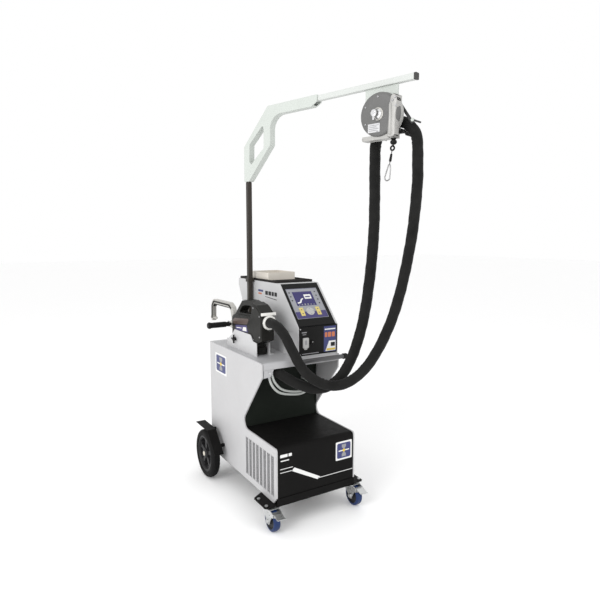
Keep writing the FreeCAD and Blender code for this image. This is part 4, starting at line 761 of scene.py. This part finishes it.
# ---- gun details -------------------------------------------------------------------------------------
gun_side = left_place(-165.0)
cover_outline = [
    (238, 830), (238, 946), (287, 979), (330, 990), (338, 940), (350, 922), (520, 912), (562, 894),
    (562, 812), (546, 804), (300, 804)]
cart_print("gun_cover", gun_side, cover_outline, gun_plastic, radius=8, thick=1.6)
cart_print("gun_band", left_place(-166.6), [(367, 906), (385, 882), (552, 864), (556, 884), (538, 896),
                                            (372, 912)], brown_plastic, radius=5, thick=0.9)
cart_print("gun_label", left_place(-166.6), [(378, 842), (524, 836), (524, 862), (391, 876)],
           ink_violet, radius=4, thick=0.3)
cart_print("gun_label_bar", left_place(-166.9), [(392, 846), (440, 843), (434, 862), (398, 866)],
           pale_plastic, radius=3, thick=0.15)
cart_print("gun_label_line", left_place(-166.9), [(452, 852), (512, 848), (512, 852), (452, 856)],
           pale_plastic, thick=0.15)
for index, (y, z) in enumerate(((252, 838), (252, 938), (318, 972), (318, 816), (548, 820))):
    lathe("gun_screw_%d" % index, [(0, 4.0), (0.8, 3.8), (1.2, 2.4), (0.5, 2.0)], at(-166.6, y, z), (-1,
                                                                                                     0,
                                                                                                     0),
          steel, "cart", 18)
slab("gun_end_plate", [at(x, y, 943) for x, y in ((-168.4, 224.4), (-90.4, 224.4), (-90.4, 231.4),
                                                  (-168.4, 231.4))], Vector((0, 0, 0.0140)),
     pale_plastic, "cart", bevel=0.0012)
lathe("gun_gland_ring", [(0.4, 27.6), (0.4, 35.6), (4.4, 35.4), (8.4, 31.6), (8.6, 27.6)], at(-124, 231,
                                                                                              909), (0,
                                                                                                     -1,
                                                                                                     0),
      pale_plastic, "cart", 56)
for index in range(9):
    y = 388 + 7.5 * index
    z = 1003.2 - 0.74 * index
    slab("grip_rib_%d" % index, [at(-154, y - 1.6, z), at(-110, y - 1.6, z), at(-110, y + 1.6, z),
                                 at(-154, y + 1.6, z)], Vector((0, 0, 0.0016)), gun_plastic, "cart",
         bevel=0.0005)
# black strip along the arm's side and a thin black band along its inner contour: painted shade for the arm's
# shaded underside
strip_line = [(906, 846), (903, 922), (878, 947), (660, 948), (634, 932)]
strip_outer = [(y + 4.0, z) for y, z in strip_line[:2]] + [(y, z + 4.0) for y, z in strip_line[2:]]
strip_inner = [(y - 4.0, z) for y, z in strip_line[:2]] + [(y, z - 4.0) for y, z in strip_line[2:]]
slab("arm_shade_strip", [at(-143.1, y, z) for y, z in rounded(strip_outer + strip_inner[::-1], 6)],
     Vector((-0.004, 0, 0)), black_plastic, "cart", bevel=0.001)
arm_inner = [(658, 931), (664, 935), (872, 935), (892, 920), (888, 916), (871, 930)]
slab("arm_shade_band", [at(-142, y, z) for y, z in arm_inner], Vector((0.020, 0, 0)), black_plastic, "cart",
     bevel=0.0008)
for index in range(14):
    along = 92 - index * 5.0
    lathe("grip_groove_%d" % index, [(0, 14.1), (0.7, 14.9), (1.9, 14.9), (2.6, 14.1)],
          at(-161.5 - along - 4, 596, 856), (-1, 0, 0), black_plastic, "cart", 32)
lathe("grip_end", [(0, 15.6), (3, 17.2), (9, 17.4), (13, 15.0), (14.5, 9.0), (14.8, 0.5)], at(-276.5,
                                                                                              596, 856),
      (-1, 0, 0), black_plastic, "cart", 40)


# ---- camera ----------------------------------------------------------------------------------
camera_data = bpy.data.cameras.new("camera")
camera_data.lens = 31.35
camera_data.sensor_width = 36.0
camera = bpy.data.objects.new("camera", camera_data)
bpy.context.scene.collection.objects.link(camera)
camera.location = at(-1276.4, -1946.5, 1306.6)
camera.rotation_euler = (radians(90.0 - 6.7), 0.0, radians(-31.3))
bpy.context.scene.camera = camera

# ---- hoses -----------------------------------------------------------------------------------
GUN_STRAND = [(-124, 217, 909), (-124, 183, 909), (-119, 152, 898), (-110, 128, 876), (-97, 113, 848),
              (-79, 98, 798), (-58, 77, 742), (-32, 50, 688), (6, 10, 652), (54, -43, 636), (100, -94,
                                                                                             657), (142,
                                                                                                    -140,
                                                                                                    707),
              (175, -177, 775), (205, -209, 860), (232, -239, 962), (253, -262, 1075), (268, -279,
                                                                                        1190), (279,
                                                                                                -291,
                                                                                                1290),
              (286.6, -299.0, 1380), (289.0, -301.6, 1450), ]
MACHINE_STRAND = [
    (-156, 318.7, 702), (-156, 263, 702), (-146, 206, 699), (-124, 160, 687), (-90, 122, 657), (-42, 88,
    626), (10, 54, 608), (62, 20, 614), (104, -15, 652), (138, -42, 716), (165, -61, 795), (187, -77,
    890), (203, -89, 995), (214, -97, 1105), (222, -104, 1215), (226.5, -106.5, 1305), (229.2, -108.2,
    1380), (230.8, -109.6, 1450), ]
ARCH_S = 877.0
ARCH_Z = 1697.0
ARCH_RADIUS = 102.0
HOSE_SIDE = 40.0


def arch_route():
    """Points over the saddle, from the outer strand to the inner one."""
    points = [on_boom(ARCH_S + ARCH_RADIUS + 8, HOSE_SIDE, 1545), on_boom(ARCH_S + ARCH_RADIUS + 5,
                                                                          HOSE_SIDE, 1630)]
    reach = ARCH_RADIUS / cos(radians(14.5))
    for turn in (8, 30, 60, 90, 120, 150, 172):
        angle = radians(turn)
        points.append(on_boom(ARCH_S + reach * cos(angle), HOSE_SIDE, ARCH_Z + reach * sin(angle)))
    points.append(on_boom(ARCH_S - ARCH_RADIUS - 3, HOSE_SIDE, 1630))
    points.append(on_boom(ARCH_S - ARCH_RADIUS - 1, HOSE_SIDE, 1545))
    return points


def spline_curve(name, points, bevel=0.0):
    """Open NURBS curve with the route's points as its control points."""
    data = bpy.data.curves.new(name, "CURVE")
    data.dimensions = "3D"
    data.resolution_u = 10
    data.bevel_depth = bevel
    data.bevel_resolution = 6
    data.use_fill_caps = True
    spline = data.splines.new("NURBS")
    spline.points.add(len(points) - 1)
    for slot, point in zip(spline.points, points):
        slot.co = (point.x, point.y, point.z, 1.0)
    spline.order_u = 3
    spline.use_endpoint_u = True
    curve = bpy.data.objects.new(name, data)
    bpy.context.scene.collection.objects.link(curve)
    return curve


def line_of(points):
    """The route's own spline as a list of points."""
    curve = spline_curve("route_line", points)
    bpy.context.view_layer.update()
    mesh = bpy.data.meshes.new_from_object(curve)
    line = [v.co.copy() for v in mesh.vertices]
    bpy.data.objects.remove(curve)
    bpy.data.meshes.remove(mesh)
    return line


def even_steps(line, step):
    """The same line at even steps."""
    made = [line[0]]
    carry = 0.0
    for first, second in zip(line, line[1:]):
        length = (second - first).length
        place = step - carry
        while place <= length:
            made.append(first.lerp(second, place / length))
            place += step
        carry = (carry + length) % step if length + carry >= step else carry + length
    if (made[-1] - line[-1]).length > step * 0.3:
        made.append(line[-1])
    return made


def sleeve_radius(around, along, bend, inner):
    """Cloth sleeve: a flap along it, soft folds, and tighter creases inside the bends."""
    flap = 0.0009 if abs(((around - 1.1 + pi) % (2 * pi)) - pi) < 0.42 else 0.0
    folds = 0.00045 * sin(along * 61.0 + 2.3 * sin(around + along * 9.0))
    folds += 0.00035 * sin(along * 143.0 + 1.7 * sin(2.0 * around + 4.0))
    crease = 0.0016 * min(1.0, bend * 0.14) * max(0.0, cos(inner)) * sin(along * 330.0)
    return 0.0236 + flap + folds + crease


def hose_mesh(name, line, material):
    step = 0.006
    points = even_steps(line, step)
    count = len(points)
    around_steps = 36
    bm = bmesh.new()
    uv = bm.loops.layers.uv.new("sleeve")
    rings = []
    up = Vector((0.31, 0.95, 0.05))
    side = None
    for i, point in enumerate(points):
        tangent = (points[min(i + 1, count - 1)] - points[max(i - 1, 0)]).normalized()
        if side is None:
            side = (up - tangent * up.dot(tangent)).normalized()
        side = (side - tangent * side.dot(tangent)).normalized()
        other = tangent.cross(side)
        before = (points[i] - points[max(i - 2, 0)])
        after = (points[min(i + 2, count - 1)] - points[i])
        turning = after.normalized(
            ) - before.normalized() if before.length > 0 and after.length > 0 else Vector()
        bend = turning.length / max(1e-4, (before.length + after.length) / 2)
        inward = turning.normalized() if turning.length > 1e-6 else side
        inward_angle = atan2(inward.dot(other), inward.dot(side))
        ring = []
        along = i * step
        for k in range(around_steps):
            around = 2.0 * pi * k / around_steps
            radius = sleeve_radius(around, along, bend, around - inward_angle)
            flatten = 1.0 + 0.045 * cos(2.0 * around + 0.8)
            offset = side * cos(around) + other * sin(around)
            ring.append(bm.verts.new(point + offset * radius * flatten))
        rings.append(ring)
    for i in range(count - 1):
        for k in range(around_steps):
            j = (k + 1) % around_steps
            face = bm.faces.new((rings[i][k], rings[i][j], rings[i + 1][j], rings[i + 1][k]))
            corners = ((k, i), (k + 1, i), (k + 1, i + 1), (k, i + 1))
            for loop, (a, b) in zip(face.loops, corners):
                loop[uv].uv = (a / around_steps, b * step / 0.137)
    bm.faces.new(rings[0][::-1])
    bm.faces.new(rings[-1])
    piece = finish_mesh(name, bm, material, None, 60.0)
    return piece, points


def cloth_material():
    """Black woven sleeve: fine crossed threads, dull sheen, a little dust."""
    material, tree, shader = start_material("sleeve_cloth")
    coords = tree.nodes.new("ShaderNodeTexCoord")
    weave = []
    for angle in (45.0, -45.0):
        mapping = tree.nodes.new("ShaderNodeMapping")
        mapping.inputs["Rotation"].default_value = (0.0, 0.0, radians(angle))
        wave = tree.nodes.new("ShaderNodeTexWave")
        wave.inputs["Scale"].default_value = 28.0
        wave.inputs["Distortion"].default_value = 0.6
        wave.inputs["Detail"].default_value = 1.0
        tree.links.new(coords.outputs["UV"], mapping.inputs["Vector"])
        tree.links.new(mapping.outputs["Vector"], wave.inputs["Vector"])
        weave.append(wave.outputs["Fac"])
    threads = mix_of(tree, 0.5, weave[0], weave[1])
    broad = noise_of(tree, 16.0, 6.0, 0.65)
    base = ramp_of(tree, broad, 0.3, 0.75, (0.0075, 0.0075, 0.0072, 1.0), (0.0165, 0.0162, 0.0155, 1.0))
    shade = ramp_of(tree, threads, 0.2, 0.8, grey(0.75), grey(1.0))
    tree.links.new(mix_of(tree, 1.0, base, shade, "MULTIPLY"), shader.inputs["Base Color"])
    shader.inputs["Roughness"].default_value = 0.78
    shader.inputs["Sheen Weight"].default_value = 0.05
    shader.inputs["Sheen Roughness"].default_value = 0.5
    shader.inputs["Specular IOR Level"].default_value = 0.12
    bump = tree.nodes.new("ShaderNodeBump")
    bump.inputs["Strength"].default_value = 0.5
    bump.inputs["Distance"].default_value = 0.0005
    tree.links.new(threads, bump.inputs["Height"])
    tree.links.new(bump.outputs["Normal"], shader.inputs["Normal"])
    return material


sleeve_cloth = cloth_material()
hose_route = [at(*p) for p in GUN_STRAND[:-1]] + arch_route() + [at(*p)
                                                                 for p in MACHINE_STRAND[:-1][::-1]]
hose_line = line_of(hose_route)
main_hose, hose_path = hose_mesh("main_hose", hose_line, sleeve_cloth)
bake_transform(main_hose)
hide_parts("hose_gun_strand", "hose_machine_strand", "hose_arch")


def coolant_route(lift, shift):
    """One coolant tube's points: hanging from the deck's bracket, then across to the wall."""
    hanging = [(-159, 146, 684), (-153, 147, 652), (-126, 154, 612), (-88, 164, 582)]
    crossing = [(-24, 176, 562), (30, 190, 554), (76, 208, 561), (106, 234, 578), (117, 268, 590), (119,
                                                                                                    304,
                                                                                                    594),
                (119, 331, 594)]
    points = [at(x + shift, y, z + lift) for x, y, z in hanging]
    return points + [at(x, y, z + lift) for x, y, z in crossing]


for letter, lift, shift in (("a", 7, 0), ("b", -7, -14)):
    route = coolant_route(lift, shift)
    tube = spline_curve("coolant_tube_visual_" + letter, route, 0.0059)
    tube.data.materials.append(tube_plastic)
    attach(tube, "cart")
    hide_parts("coolant_tube_" + letter)
    drop = (route[1] - route[0]).normalized()
    lathe("tube_fitting_" + letter, [(-13, 3.0), (-13, 8.0), (-3, 8.0), (-2, 9.0), (7, 9.0), (9, 7.4),
                                     (16, 6.9), (16, 6.0)], route[0], drop, steel, "cart", 6
          if letter == "a" else 24)
    line = line_of(route)

# ---- stage -------------------------------------------------------------------------------------
floor_material, _, floor_shader = start_material("floor_pale")
floor_shader.inputs["Base Color"].default_value = (0.98, 0.98, 0.98, 1.0)
floor_shader.inputs["Roughness"].default_value = 0.85
floor_bm = bmesh.new()
for corner in ((-30, -30), (30, -30), (30, 30), (-30, 30)):
    floor_bm.verts.new((corner[0], corner[1], 0.0))
floor_bm.faces.new(floor_bm.verts)
floor = finish_mesh("floor", floor_bm, floor_material, None)

world = bpy.data.worlds.new("world")
bpy.context.scene.world = world
world.use_nodes = True
world.node_tree.nodes["Background"].inputs["Color"].default_value = (1.0, 1.0, 1.0, 1.0)
world.node_tree.nodes["Background"].inputs["Strength"].default_value = 1.0


def area_light(name, place, aim, size, power):
    data = bpy.data.lights.new(name, "AREA")
    data.shape = "RECTANGLE"
    data.size = size[0]
    data.size_y = size[1]
    data.energy = power
    light = bpy.data.objects.new(name, data)
    bpy.context.scene.collection.objects.link(light)
    light.location = place
    light.rotation_euler = (Vector(aim) - Vector(place)).to_track_quat("-Z", "Y").to_euler()
    return light


area_light("key", (-3.6, -1.4, 2.4), (0.0, 0.3, 0.8), (2.2, 2.6), 85.0)
area_light("front", (0.6, -4.2, 2.2), (0.0, 0.0, 0.8), (2.6, 2.2), 30.0)
bpy.context.scene.view_settings.view_transform = "Standard"
